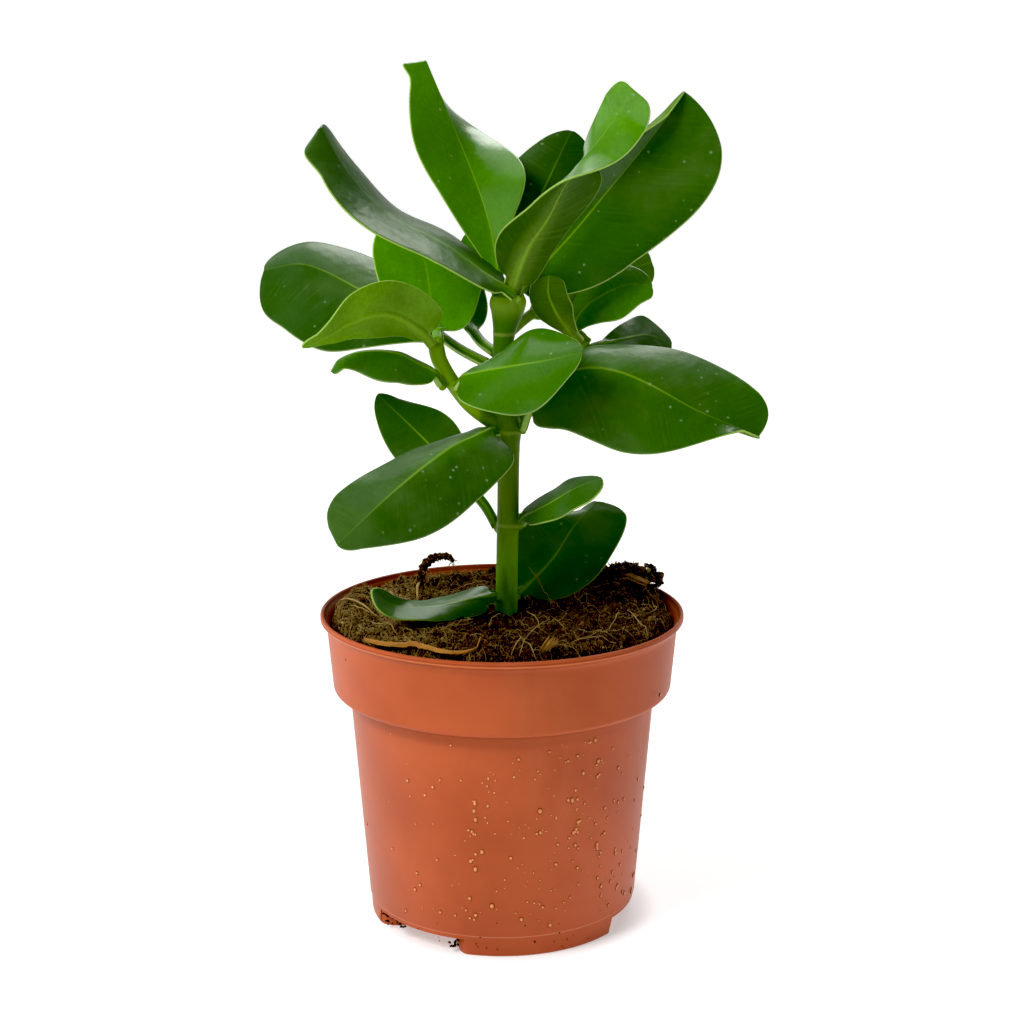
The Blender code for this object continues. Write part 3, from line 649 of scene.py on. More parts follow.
# straws that the photo shows, as x, y and lift off the soil
placedStraws = (
    ((5.5, -54.6, 0.5), (10, -39, 3.0), (14.5, -23.1, 1.5)),
    ((3, -55, 0.4), (6, -49, 1.6), (8.9, -42, 0.8)),
    ((5.5, -42, 1.0), (10.6, -54.5, 0.4)), ((41, -8, 1.2), (44, -20, 2.0), (47, -30, 0.6)),
    ((33.4, -31, 0.6), (38.2, -11.5, 1.2)), ((16, 4, 0.4), (13, 3, 6.5), (9, 1, 13.0)),
    ((8, -10, 0.6), (11, -20, 1.8), (12, -27, 0.8)), ((-4, -30, 0.8), (-1, -22, 2.4), (1, -15, 1.2)),
    ((-20, -34, 0.5), (-14, -27, 2.8), (-9, -22, 1.5)),
    ((-43, -20, 1.0), (-36, -27, 2.0), (-33, -34, 0.8)),
    ((-50, -6, 1.2), (-44, -12, 2.6), (-39, -13, 0.8)), ((-40, 16, 1.0), (-36, 6, 2.5), (-35, -2, 1.0)),
    ((47, -12, 1.0), (51, -4, 2.2), (50, 6, 1.0)), ((22, -44, 0.8), (30, -42, 2.0), (36, -40, 0.8)),
)


def onSoil(x, y, lift=0.0):
    # a point that lies on the soil, pulled inside the rim
    reach = math.hypot(x, y)
    if reach > litter["edge"]:
        x, y = x * litter["edge"] / reach, y * litter["edge"] / reach
    return x, y, soilSurface(x, y) + lift


def mossShare(x, y):
    # how much pale moss and coir lies here: thick at the left and along the front rim
    left = max(0.0, min(1.0, (-x - 10) / 22))
    rim = max(0.0, min(1.0, (math.hypot(x, y) - 34) / 18))
    return 0.03 + 0.9 * left * (0.6 + 0.4 * rim) + 0.1 * rim * (y < 8)


def pickSpot(luck, mossy):
    # somewhere on the soil, more often where the moss is when mossy is 1
    for attempt in range(60):
        angle, reach = luck.uniform(0, math.tau), litter["edge"] * math.sqrt(luck.random())
        x, y = reach * math.cos(angle), reach * math.sin(angle)
        likely = mossShare(x, y) if mossy else 0.9
        if math.hypot(x - litter["stemX"], y) > litter["stemClear"] and luck.random() < likely:
            break
    return x, y


def wander(luck, x, y, length, steps, curl, lift):
    # a fibre's points: it turns as it goes and rises off the soil in its middle
    heading = luck.uniform(0, math.tau)
    turning = luck.uniform(-curl, curl)
    points = []
    for step in range(steps + 1):
        share = step / steps
        points.append(onSoil(x, y, 0.15 + lift * math.sin(math.pi * share)))
        heading += turning + luck.uniform(-0.25, 0.25) * curl
        x += length / steps * math.cos(heading)
        y += length / steps * math.sin(heading)
    return points


def makeStrands(name, strands, materials):
    # strands are (points, thickness in mm, material number)
    lines = bpy.data.curves.new(name, "CURVE")
    lines.dimensions = "3D"
    lines.bevel_depth = mm
    lines.bevel_resolution = 0
    lines.use_fill_caps = True
    for points, thick, number in strands:
        spline = lines.splines.new("POLY")
        spline.points.add(len(points) - 1)
        last = len(points) - 1
        for index, (point, spot) in enumerate(zip(spline.points, points)):
            point.co = (*place(*spot), 1.0)
            point.radius = thick * (1 - 0.6 * abs(2 * index / last - 1) ** 3)
        spline.material_index = number
    for material in materials:
        lines.materials.append(material)
    addPiece(name, bakeModifiers(linkObject(name, lines)), [])


def fibreMaterial(name, code, roughness=0.8, stain=0.35):
    material, wire, shader = startMaterial(name, roughness, Specular_IOR_Level=0.3)
    shade = objectNoise(wire, 160.0, 3.0)
    colour = shade.between(0.4, 0.65).tint(fromHex(code), stain, litter["brown"])
    streak = objectNoise(wire, 700.0, 2.0)
    colour = streak.between(0.5, 0.75).tint(colour, stain, litter["brown"])
    plug(colour, shader, "Base Color")
    bumpFrom(streak, shader, 0.3, 0.0002)
    return material


def makeFibres(tan, pale, brown, black):
    luck = random.Random(litter["seed"])
    strands = []
    for number in range(litter["curls"]):
        x, y = pickSpot(luck, True)
        inMoss = x < litter["mossEdge"]
        longest = 5.0 if inMoss else 2.6
        points = wander(luck, x, y, luck.uniform(1.2, longest), 5, 1.2, luck.uniform(0.3, 1.6))
        shade = luck.choice((0, 0, 2, 2, 3) if inMoss else (0, 2, 2, 3, 3))
        strands.append((points, litter["curlThick"] * luck.uniform(0.7, 1.4), shade))
    for number in range(litter["rootlets"]):
        x, y = pickSpot(luck, False)
        points = wander(luck, x, y, luck.uniform(4, 14), 7, 0.5, luck.uniform(0.2, 1.8))
        strands.append((points, litter["rootThick"] * luck.uniform(0.7, 1.5), luck.choice((2, 2, 3, 3))))
    for number in range(litter["straws"]):
        x, y = pickSpot(luck, True)
        points = wander(luck, x, y, luck.uniform(4, 11), 4, 0.08, luck.uniform(0.3, 2.4))
        strands.append((points, litter["strawThick"] * luck.uniform(0.7, 1.3), 1))
    for route in placedStraws:
        points = [onSoil(x, y, lift + 1.0) for x, y, lift in smoothRoute(route, 7)]
        strands.append((points, litter["strawBold"], 1))
    # a ragged fringe on the lump at the right
    for number in range(litter["fringe"]):
        x, y, z = onSoil(*(luck.gauss(*facts) for facts in litter["fringeAt"]))
        lean = (luck.uniform(-1.6, 2.2), luck.uniform(-1.5, 1.5), luck.uniform(0.6, 2.6))
        points = [(x + lean[0] * s, y + lean[1] * s, z + lean[2] * s) for s in (0, 0.35, 0.7, 1)]
        strands.append((points, litter["fringeThick"] * luck.uniform(0.7, 1.6), luck.choice((0, 2, 2, 3))))
    makeStrands("soilFibres", strands, (tan, pale, brown, black))


def addLump(shape, luck, spot, size, number):
    # a crumb: a small rough ball
    stretch = Matrix.Diagonal((size * luck.uniform(0.7, 1.4), size * luck.uniform(0.7, 1.4),
                               size * luck.uniform(0.5, 0.9), 1.0))
    turn = Matrix.Rotation(luck.uniform(0, math.tau), 4, "Z")
    turn = turn @ Matrix.Rotation(luck.uniform(0, 1.2), 4, "X")
    made = bmesh.ops.create_icosphere(shape, subdivisions=1, radius=mm,
                                      matrix=Matrix.Translation(place(*spot)) @ turn @ stretch)["verts"]
    for vert in made:
        vert.co += Vector([luck.uniform(-0.2, 0.2) * size * mm for axis in range(3)])
    for face in {face for vert in made for face in vert.link_faces}:
        face.material_index = number


def makeCrumbs(materials):
    luck = random.Random(litter["seed"] + 1)
    shape = bmesh.new()
    low, high = litter["crumbSize"]
    for lot in range(litter["crumbs"] // litter["lot"]):
        # small lots, because a small mesh takes new crumbs quicker
        part = bmesh.new()
        for crumb in range(litter["lot"]):
            mossy = luck.random() < litter["mossyShare"]
            x, y = pickSpot(luck, mossy)
            size = (low + (high - low) * luck.random() ** 3) * (0.7 if mossy else 1)
            shade = luck.choice((0, 0, 1, 2, 3) if mossy else (0, 0, 1, 1, 2))
            addLump(part, luck, onSoil(x, y, size * 0.25), size, shade)
        mesh = toMesh("lot", part)
        shape.from_mesh(mesh)
        bpy.data.meshes.remove(mesh)
    for crumb in range(litter["lumpCrumbs"]):
        # the lump at the right is the roughest place
        spot = onSoil(*(luck.gauss(*facts) for facts in litter["lump"]), 0.5)
        addLump(shape, luck, spot, luck.uniform(0.6, 1.7), luck.choice((0, 1, 2, 2)))
    x, y, z = litter["clod"]
    for crumb in range(litter["clodCrumbs"]):
        out = luck.random()
        spot = (x + 8.5 * out, y - 2 * out + luck.gauss(0, 2.4 - 0.7 * out),
                z - 2 * out + luck.gauss(0, 1.6 - 0.6 * out))
        addLump(shape, luck, spot, luck.uniform(0.4, 1.2), luck.choice((0, 1, 2, 2, 3)))
    addPiece("soilCrumbs", shape, materials)


def makeBaseCrumbs(materials):
    # soil that washed out through the gap under the foot and clings there
    luck = random.Random(litter["seed"] + 2)
    shape = bmesh.new()
    for degrees, reach, z, count in litter["clumps"]:
        x, y = fromFront(reach, degrees)
        for number in range(count):
            size = luck.uniform(0.2, 0.75)
            spot = (x + luck.gauss(0, 0.8), y + luck.gauss(0, 0.8), max(size, z + luck.uniform(-1.0, 0.6)))
            addLump(shape, luck, spot, size, luck.choice((0, 1, 1)))
    for number in range(litter["wallSpecks"]):
        # specks of soil stuck to the wall, low down
        z = luck.uniform(1.5, 13)
        x, y = fromFront(outerRadius(z) - 0.05, luck.uniform(-50, 55))
        addLump(shape, luck, (x, y, z), luck.uniform(0.12, 0.3), 0)
    addPiece("baseCrumbs", shape, materials)


def makeTwigAndStrips(tan, orange, black, brown):
    shape = bmesh.new()
    luck = random.Random(litter["seed"] + 3)
    route = smoothRoute(litter["twig"], 34)
    rough = [(x, y, z, radius * luck.uniform(0.7, 1.25)) for x, y, z, radius in route]
    addTube(shape, rough, sides=10)
    addPiece("darkTwig", shape, [black])
    strands = []
    for x, y, z, radius in rough:
        for number in range(litter["hairs"]):
            lean = Vector([luck.gauss(0, 1) for axis in range(3)]).normalized() * luck.uniform(1.2, 2.6)
            # each hair bends down towards its end
            points = []
            for s in (0.3, 0.7, 1.0):
                points.append((x + lean.x * s, y + lean.y * s, z + lean.z * s - s * s * 0.4))
            strands.append((points, litter["hairThick"], luck.choice((0, 1, 1))))
    for route, thick, number in litter["roots"]:
        strands.append(([tuple(spot) for spot in smoothRoute(route, 14)], thick, number))
    makeStrands("twigHairs", strands, (tan, black, orange, brown))
    # a frayed strip of coir husk, as a bundle of fibres side by side
    strands = []
    half = (len(litter["stripShades"]) - 1) / 2
    for number, shade in enumerate(litter["stripShades"]):
        across = (number - half) / half
        points = []
        for x, y, spread in smoothRoute(litter["strip"], 44):
            z = max(onSoil(x, y, 1.0)[2], litter["stripLow"]) + 0.5 * (1 - across * across)
            points.append((x, y + across * spread, z + luck.uniform(0, 0.1)))
        strands.append((points, litter["stripThick"], shade))
    makeStrands("strawStrip", strands, (orange, brown, tan))


def makeChips(materials):
    # two bits of husk, each a bundle of short fibres
    luck = random.Random(litter["seed"] + 4)
    strands = []
    for x, y, lift, long, wide, turnDeg, tiltDeg in litter["chips"]:
        centre = Vector(onSoil(x, y, lift))
        turn = Matrix.Rotation(math.radians(turnDeg), 3, "Z")
        turn = turn @ Matrix.Rotation(math.radians(-tiltDeg), 3, "Y")
        for number in range(litter["chipFibres"]):
            across, up = luck.uniform(-wide, wide), luck.uniform(-0.5, 0.5)
            start, end = -long * luck.uniform(0.7, 1.0), long * luck.uniform(0.7, 1.0)
            points = []
            for share in (0.0, 0.5, 1.0):
                spot = Vector((start + (end - start) * share, across + luck.gauss(0, 0.15), up))
                points.append(tuple(centre + turn @ spot))
            strands.append((points, luck.uniform(0.18, 0.34), number % 3))
    makeStrands("barkChips", strands, materials)


def makeLitter():
    tan = fibreMaterial("coirTan", litter["tan"])
    pale = fibreMaterial("strawPale", litter["pale"], 0.6, 0.08)
    brown = fibreMaterial("rootBrown", litter["brown"])
    black = soilMaterial("soilBlack", soil["dark"], litter["black"], soil["mid"], 900.0)
    orange = fibreMaterial("strawOrange", litter["orange"], 0.55)
    chip = fibreMaterial("barkChip", litter["chip"])
    darkCrumb = soilMaterial("crumbDark", soil["dark"], soil["dark"], soil["mid"])
    midCrumb = soilMaterial("crumbBrown", soil["dark"], soil["mid"], soil["warm"])
    warmCrumb = soilMaterial("crumbWarm", soil["mid"], soil["warm"], litter["tan"])
    makeFibres(tan, pale, brown, black)
    makeCrumbs((darkCrumb, midCrumb, warmCrumb, tan))
    makeBaseCrumbs((darkCrumb, midCrumb))
    makeTwigAndStrips(tan, orange, black, brown)
    makeChips((chip, brown, tan))
    print("fibres, crumbs, twig and straws are laid")


# stem

stem = {
    # routes as x, y, z and radius
    "trunk": ((1.5, 0, 88, 3.7), (1.5, 0, 105, 3.7), (1.8, 0, 128, 3.6), (2, 0, 133, 3.8),
              (2, 0, 138, 3.6), (2.2, 0, 159, 3.7), (2.3, 0, 165, 4.1), (1.5, 0, 172, 3.6),
              (0.4, 0, 187, 3.4), (0.8, 0, 196, 3.6), (1.6, 0, 202, 5.0), (2, 0, 206, 6.0),
              (2, 0, 208.5, 5.2)),
    "left": ((0, 0, 165, 2.6), (-10, -3, 173, 2.5), (-16, -4, 181, 2.5), (-20, -4, 188, 2.6),
             (-21, -3, 192, 2.7)),
    "right": ((3, 2, 164, 2.5), (9, 7, 170, 2.3), (17, 10, 179, 2.3), (22, 10.5, 186, 2.4),
              (27, 10, 190, 2.6)),
    "scars": (133.0, 164.0, 187.0, 196.0), "scarHeight": 0.16, "scarSpread": 0.5,
    "rows": 240, "shootRows": 24, "voxel": 0.45, "evenFactor": 0.6, "evenRounds": 5, "collar": 1.5,
    "collarOut": 0.6, "collarIn": 2.2,
    "base": "76AE08", "middle": "5C7C14", "top": "3E6A0A",
    "tipTint": (0.6, "92B43C"), "mottle": (0.45, "3C5A0C"), "shoots": (0.55, "86AC22"),
    "scarTint": (0.35, "98AA50"),
}


def stemMaterial():
    material, wire, shader = startMaterial("greenStem", 0.45, Specular_IOR_Level=0.15)
    height = millimetres(wire, 2)
    colour = height.between(112, 140).blend(fromHex(stem["base"]), fromHex(stem["middle"]))
    colour = height.between(150, 185).blend(colour, fromHex(stem["top"]))
    colour = height.between(199, 208).tint(colour, *stem["tipTint"])
    mottle = objectNoise(wire, 240.0, 4.0, 0.6, (1.0, 1.0, 0.25))
    colour = mottle.between(0.45, 0.7).tint(colour, *stem["mottle"])
    # the side shoots are younger and paler than the trunk
    offTrunk = millimetres(wire, 0).away(-3).between(6, 8)
    colour = offTrunk.tint(colour, *stem["shoots"])
    scar = None
    for z in stem["scars"]:
        band = 1 - height.away(z).between(0.25, 0.9)
        scar = band if scar is None else scar.maths("MAXIMUM", scar, band)
    colour = (scar * (1 - offTrunk)).tint(colour, *stem["scarTint"])
    plug(colour, shader, "Base Color")
    bumpFrom(objectNoise(wire, 500.0, 4.0, 0.6, (1.0, 1.0, 0.2)), shader, 0.25, 0.0004)
    return material


def makeStem():
    shape = bmesh.new()
    addTube(shape, smoothRoute(stem["trunk"], stem["rows"]), stem["scars"])
    for shoot in ("left", "right"):
        addTube(shape, smoothRoute(stem[shoot], stem["shootRows"]))
    for leaf in leaves.values():
        # a collar where the leaf's stalk grows out of the stem
        root, inward = collarEnds(leaf)
        addTube(shape, ((*inward, stem["collar"]), (*root, stem["collar"] - 0.2)))
    bmesh.ops.recalc_face_normals(shape, faces=shape.faces)
    tubes = linkObject("stemTubes", toMesh("stemTubes", shape))
    skin = tubes.modifiers.new("skin", "REMESH")
    skin.mode = "VOXEL"
    skin.voxel_size = stem["voxel"] * mm
    skin.use_smooth_shade = True
    even = tubes.modifiers.new("even", "SMOOTH")
    even.factor = stem["evenFactor"]
    even.iterations = stem["evenRounds"]
    mesh = bakeModifiers(tubes)
    addPiece("greenStem", mesh, [stemMaterial()], ["stem"])
    print("stem is grown,", len(mesh.polygons), "faces")


def collarEnds(leaf):
    # the leaf's root, and a spot a little way back into the stem
    root = np.array(leaf["rib"][0], float)
    out = smoothRoute(leaf["rib"], 30)[2] - root
    out = out / np.linalg.norm(out)
    return root + out * stem["collarOut"], root - out * stem["collarIn"]


# leaves


# What a leaf's entry leaves out is as usual. The stalk is a share of the length, tip and foot say how fast
# the outline fills out, tone goes from dark (0) to young (1), and pale is for the underside.
usual = dict(stalk=0.12, tip=2.4, foot=0.5, tone=0.2, pale=0.3, footWide=3.6, camber=0.6, soft=0.6,
             flares=())
# the rib's points, and how far the blade reaches to the left and right of it
leaves = {
    "top_left": dict(
        rib=((-1, 2, 209.4), (-2, 4, 220), (-5, 11, 233), (-9, 17, 244), (-18, 25, 265), (-25, 31, 281)),
        left=((-20, -5, 4), (-18, -6, 5), (-15, -6, 5), (-8, -4, 3)),
        right=((8, -4, 4), (18, -3, 7), (9, 10, 1), (-1, 8, -5)),
        stalk=0.06, tip=3.6, foot=1.1, tone=0.7, pale=0.8, footWide=4.0, soft=0.2,
        flares=((-1, 0.84, (-3.5, -3, -2)),)),
    "upper_left": dict(
        rib=((4.0, -5.6, 208.5), (-4, -6.4, 215), (-19, -7, 225.8), (-36, -9, 235), (-48, -11, 248),
             (-56, -12, 262)),
        left=((-4, -14, -3), (-4, -17, -3), (-5, -10, -5)),
        right=((2, 14, 3), (3, 16, 1), (1, 9, 3)),
        stalk=0.05, tip=3.0, foot=0.45, tone=0.15, pale=0.7, footWide=7.0,
        flares=((-1, 0.85, (-3, -3, -5)),)),
    "top_twisted": dict(
        rib=((3, -3, 209.7), (8, -7, 224), (14, -11, 234), (20, -15, 246), (29, -19, 257), (36, -22, 267),
             (40, -24, 274)),
        left=((8, 3, -6), (8, 7, -4), (12, 10, 0), (-3, 10, -1), (-5, 3, 5)),
        right=((-13, -5, 7), (-9, -9, 4), (-1, -13, 2), (7, -8, -3), (8, -4, -6)),
        stalk=0.05, tip=4.5, tone=0.8, pale=0.0, footWide=7.0),
    "upper_right": dict(
        rib=((6, 1, 209.9), (13, 5, 217), (22, 11, 226), (31, 17, 236), (49, 25, 257), (60, 31, 271)),
        left=((-12, -6, 9), (-12, -7, 8), (-8, -9, 3), (-2, -8, -2)),
        right=((17, -5, -15), (19, -5, -15.5), (25, -5, -17)),
        stalk=0.05, tip=2.0, footWide=7.0),
    "top_back": dict(
        rib=((3, 4, 209.5), (4, 10, 218), (10, 22, 232), (17, 31, 246), (23, 38, 258)),
        left=((-12, 2, 2), (-14, 2, 3), (-13, 1, 1)),
        right=((12, 2, -2), (15, 2, -4), (12, 0, -5)),
        stalk=0.14, tip=2.2, foot=0.85, tone=0.05),
    "top_small": dict(
        rib=((-2, 5, 209), (-4, 9, 215), (-8, 12, 222), (-12, 15, 226)),
        left=((-4, -3, -4), (-4, -3, -4)),
        right=((5, 2, 5), (5, 2, 5)),
        stalk=0.14, tip=2.2, foot=0.85, tone=0.5),
    "left_large": dict(
        rib=((-3, 2, 185), (-14, 7, 190), (-27, 14, 198), (-46, 20, 207), (-65, 25, 215), (-79, 27, 213)),
        left=((-6, -9, -11), (-10, -9, -20), (-6, -6, -22)),
        right=((6, 14, 11), (6, 14, 8), (1, 10, 7)),
        stalk=0.24, tip=2.5, foot=0.7, tone=0.05),
    "left_back": dict(
        rib=((-2, 4, 189), (-7, 10, 192), (-11, 16, 197), (-16, 25, 206), (-20, 33, 216)),
        left=((-3, -2, 2), (-9, -3, -1)),
        right=((9, 2, 6), (9, 2, 5)),
        stalk=0.30, tone=0.3),
    "left_shoot_up": dict(
        rib=((-20.2, -1.4, 193.7), (-21, 3, 197), (-23, 9, 206), (-25, 16, 216), (-30, 22, 230)),
        left=((-17, -3, 0), (-17, -3, 2), (-15, -2, 3)),
        right=((17, -4, -4), (18, -3, 0), (13, -3, -2)),
        tip=2.2, tone=0.95),
    "left_shoot_arching": dict(
        rib=((-22.2, -5.2, 193.2), (-25, -8, 197), (-32, -15, 203), (-38, -21, 205), (-47, -27, 203),
             (-53, -31, 200), (-61, -34, 197)),
        left=((15, 2, 8), (5, 3, 11), (0, 2, 9), (0, -2, 3)),
        right=((-2, 3, -5), (0, 4, -8), (1, 4, -5), (2, 4, -2)),
        stalk=0.08, tone=0.9, pale=0.6),
    "left_shoot_low": dict(
        rib=((-19.5, -7.5, 181), (-22, -10, 185), (-28, -13, 189), (-33, -16, 192), (-43, -19, 193),
             (-50, -21, 191), (-53, -21, 187)),
        left=((0, -5, -9), (-1, -4, -9), (2, -2, -3)),
        right=((1, 8, -1), (1, 8, -2), (-2, 6, -2)),
        stalk=0.10, foot=0.6, tone=0.4),
    "left_shoot_front": dict(
        rib=((-14, -7, 180), (-11, -11, 184), (1, -19, 188), (14, -24, 191), (25, -27, 194)),
        left=((2, 7, 3), (3, 9, 11), (2, 6, 8)),
        right=((-8, -8, -12), (0, -8, -14), (0, -5, -9)),
        stalk=0.10, tip=1.9, tone=0.5, camber=2.2),
    "right_large": dict(
        rib=((7, -3.4, 166), (9.5, -6, 173), (17, -8, 181), (25, -10, 186), (35, -12, 186), (46, -13, 182),
             (62, -15, 173.5), (81.5, -17, 165.5)),
        left=((3, 12, 8), (4, 14, 7), (8, 14, 12), (11, 9, 12)),
        right=((-3, -9, -22), (-6, -8, -24), (-7, -6, -17), (3, -5, 0)),
        stalk=0.10, tip=2.6),
    "right_back": dict(
        rib=((29, 13, 189), (33, 15, 190), (41, 21, 191), (49, 28, 191), (57, 33, 187)),
        left=((1, 8, 7), (1, 9, 6), (1, 6, 3)),
        right=((0, -8, -6), (0, -9, -6), (0, -6, -5)),
        tip=2.2, foot=0.85),
    "right_hidden": dict(
        rib=((3, 4, 196), (9, 12, 200), (21, 20, 206), (34, 27, 211), (50, 33, 215)),
        left=((4, -2, -9), (3, -2, -9)),
        right=((-4, 4, 9), (-3, 4, 9)),
        stalk=0.20, tip=3.0, foot=0.85),
    "right_shoot_narrow": dict(
        rib=((25.2, 7.2, 192.3), (23, 6, 195), (18, 2, 202), (15, -1, 209), (15, -3, 215)),
        left=((4, -2, 2), (6, 0, 1), (6, 1, -1)),
        right=((-4, 1, -2), (-6, 2, -2), (-6, 2, -1)),
        tip=4.0, foot=0.85, tone=0.35, pale=0.05),
    "right_shoot_glossy": dict(
        rib=((27, 12.5, 192.5), (24, 13, 196), (27, 14, 202), (34, 14, 207), (42, 14, 210), (49, 13, 209)),
        left=((-4, 5, 6), (-3, 6, 7), (0, 5, 6)),
        right=((2, -4, -7), (4, -5, -8), (2, -3, -6)),
        foot=0.85, tone=0.7),
    "low_back": dict(
        rib=((-2, 3, 132), (-6, 7, 138), (-16, 14, 148), (-27, 21, 158), (-42, 28, 171)),
        left=((-7, -3, -8), (-8, -3, -8), (-6, -3, -8)),
        right=((8, 3, 7), (8, 3, 8), (5, 3, 3)),
        stalk=0.20, tip=1.9, foot=0.85, tone=0.05),
    "low_left": dict(
        rib=((-2.4, -4.4, 165), (-6, -9, 165), (-16, -17, 162), (-32, -30, 152), (-50.7, -42, 136.5)),
        left=((18, -6, -12), (11, -5, -15), (5, -3, -9)),
        right=((-2, 13, -2), (-5, 14, 4), (-6, 8, 10)),
        stalk=0.04, tip=5.0, tipLeft=1.8, foot=0.38, tone=0.1, footWide=6.0),
    "low_right": dict(
        rib=((6.5, -3.4, 134), (9, -5, 137), (16, -9, 142), (24, -14, 148), (32, -18, 152)),
        left=((-3, 9, 1), (-3, 9, 1)),
        right=((2, -9, -3), (2, -9, -3)),
        stalk=0.05, tip=2.2, footWide=5.0),
    "soil_right": dict(
        rib=((5.3, 3.2, 108), (9, 6, 111), (17, 13, 118), (24, 20, 127), (32, 28, 134)),
        left=((-12, 1, 4), (-15, -1, 11), (-4, 2, -1)),
        right=((13, -2, -10), (14, -2, -8), (17, -2, -2)),
        stalk=0.04, foot=0.55, footWide=5.0),
    "soil_left": dict(
        rib=((-2.3, -3.2, 109), (-8, -8, 110), (-20, -14, 109), (-31, -20, 110), (-37, -24, 113),
             (-41, -26, 118)),
        left=((0, -5, -6), (0, -8, -2), (-2, -7, -1)),
        right=((0, 7, 2), (1, 8, 1), (4, 5, 1)),
        stalk=0.05, foot=0.4, tone=0.3, footWide=6.0),
}
youngLeaves = ("left_shoot_arching", "left_shoot_low", "left_shoot_front", "right_shoot_narrow",
               "right_shoot_glossy", "top_small", "soil_right")

blade = {
    "stalkRows": 8, "bladeRows": 66, "columns": 44, "stalkFade": 0.35, "widest": 0.6,
    "root": 3.0, "stalkThick": 2.6, "ribThick": 1.4, "tipRib": 0.8,
    "ribHalves": (1.8, 1.8, 1.2, 0.6), "thick": 0.75, "ribSlims": 0.18,
    "edgeRound": 0.45, "wave": 0.35, "quilt": 0.008, "veins": 62, "slant": 0.52,
    "topDark": "294C14", "topMid": "3C6E06", "topYoung": "5A9C06",
    "underDark": "305406", "underPale": "7EB02C", "margin": "A4C460", "rib": "86AE2C",
    "speckle": (0.14, "173F05"), "dustAndSheen": (0.13, "86A266"), "waterMarks": (0.4, "9FB38C"), "rim": 0.65,
}
sides = {
    "leafUpper": {"rough": 0.3, "specular": 0.36, "shade": (0.35, "173F05"), "besideRib": (0.45, "4C860A"),
                  "veins": 0.06, "ribFades": 0.8, "rib": 0.5, "bump": 0.3},
    "leafUnder": {"rough": 0.5, "specular": 0.18, "shade": (0.35, "35560A"), "besideRib": (0.45, "86A83C"),
                  "veins": 0.11, "ribFades": 0.5, "rib": 0.45, "bump": 0.4},
}


def leafPlaces(leaf, along, across):
    # the middle surface, in millimetres, with the blade's share and the reach
    rib = hermite(leaf["rib"], chordStations(leaf["rib"]), along)
    share = np.clip((along - leaf["stalk"]) / (1 - leaf["stalk"]), 0, 1)
    station = np.clip((share - 0.1) / 0.8, 0, 1)
    left = hermite(leaf["left"], np.linspace(0, 1, len(leaf["left"])), station)
    right = hermite(leaf["right"], np.linspace(0, 1, len(leaf["right"])), station)
    sideways = np.subtract(leaf["right"][0], leaf["left"][0])
    sideways = sideways / np.linalg.norm(sideways)
    foot = np.sin(math.pi / 2 * np.clip(share / blade["widest"], 0, 1)) ** leaf["foot"]
    end = np.clip((share - blade["widest"]) / (1 - blade["widest"]), 0, 1)
    bend = np.where(across < 0, leaf.get("tipLeft", leaf["tip"]), leaf["tip"])
    tip = (1 - end ** bend) ** (1 / bend)
    outline = np.where(share < blade["widest"], foot, tip)[:, None]
    # the two halves meet in a soft curve at the rib, not in a crease
    halfway = (right - left) / 2 * np.where(across < 0, -1, 1)[:, None]
    soft = leaf["soft"] * (1 - np.abs(across))[:, None]
    reach = np.where(across[:, None] < 0, left, right)
    reach = (reach * (1 - soft) + halfway * soft) * outline
    stalk = np.clip(1 - share / blade["stalkFade"], 0, 1)[:, None] * leaf["footWide"] / 2
    reach += np.where(across < 0, -1, 1)[:, None] * sideways * stalk
    for hand, start, out in leaf["flares"]:
        # a tip's corner is drawn out on one side
        pulled = np.clip((share - start) / (1 - start), 0, 1) ** 1.5 * (across * hand > 0)
        reach += pulled[:, None] * np.array(out, float)
    return rib + reach * np.abs(across)[:, None], share, np.linalg.norm(reach, axis=1)


def leafNormals(leaf, along, across):
    small = 0.004
    ahead = leafPlaces(leaf, np.clip(along + small, 0, 0.995), across)[0]
    behind = leafPlaces(leaf, np.clip(along - small, 0, 0.985), across)[0]
    side = np.clip(across, -0.96, 0.96)
    right = leafPlaces(leaf, np.clip(along, 0, 0.99), side + 0.03)[0]
    left = leafPlaces(leaf, np.clip(along, 0, 0.99), side - 0.03)[0]
    normals = np.cross(right - left, ahead - behind)
    return normals / np.maximum(np.linalg.norm(normals, axis=1), 1e-9)[:, None]


def ribProfile(leaf, along, distance):
    # the rib's full thickness at the middle, and its round section
    stations = (0, leaf["stalk"], leaf["stalk"] + blade["ribSlims"], 1)
    depths = (blade["root"], blade["stalkThick"], blade["ribThick"], blade["tipRib"])
    thick = np.interp(along, stations, depths)
    half = np.interp(along, stations, blade["ribHalves"])
    return thick, np.sqrt(np.clip(1 - (distance / half) ** 2, 0, 1))


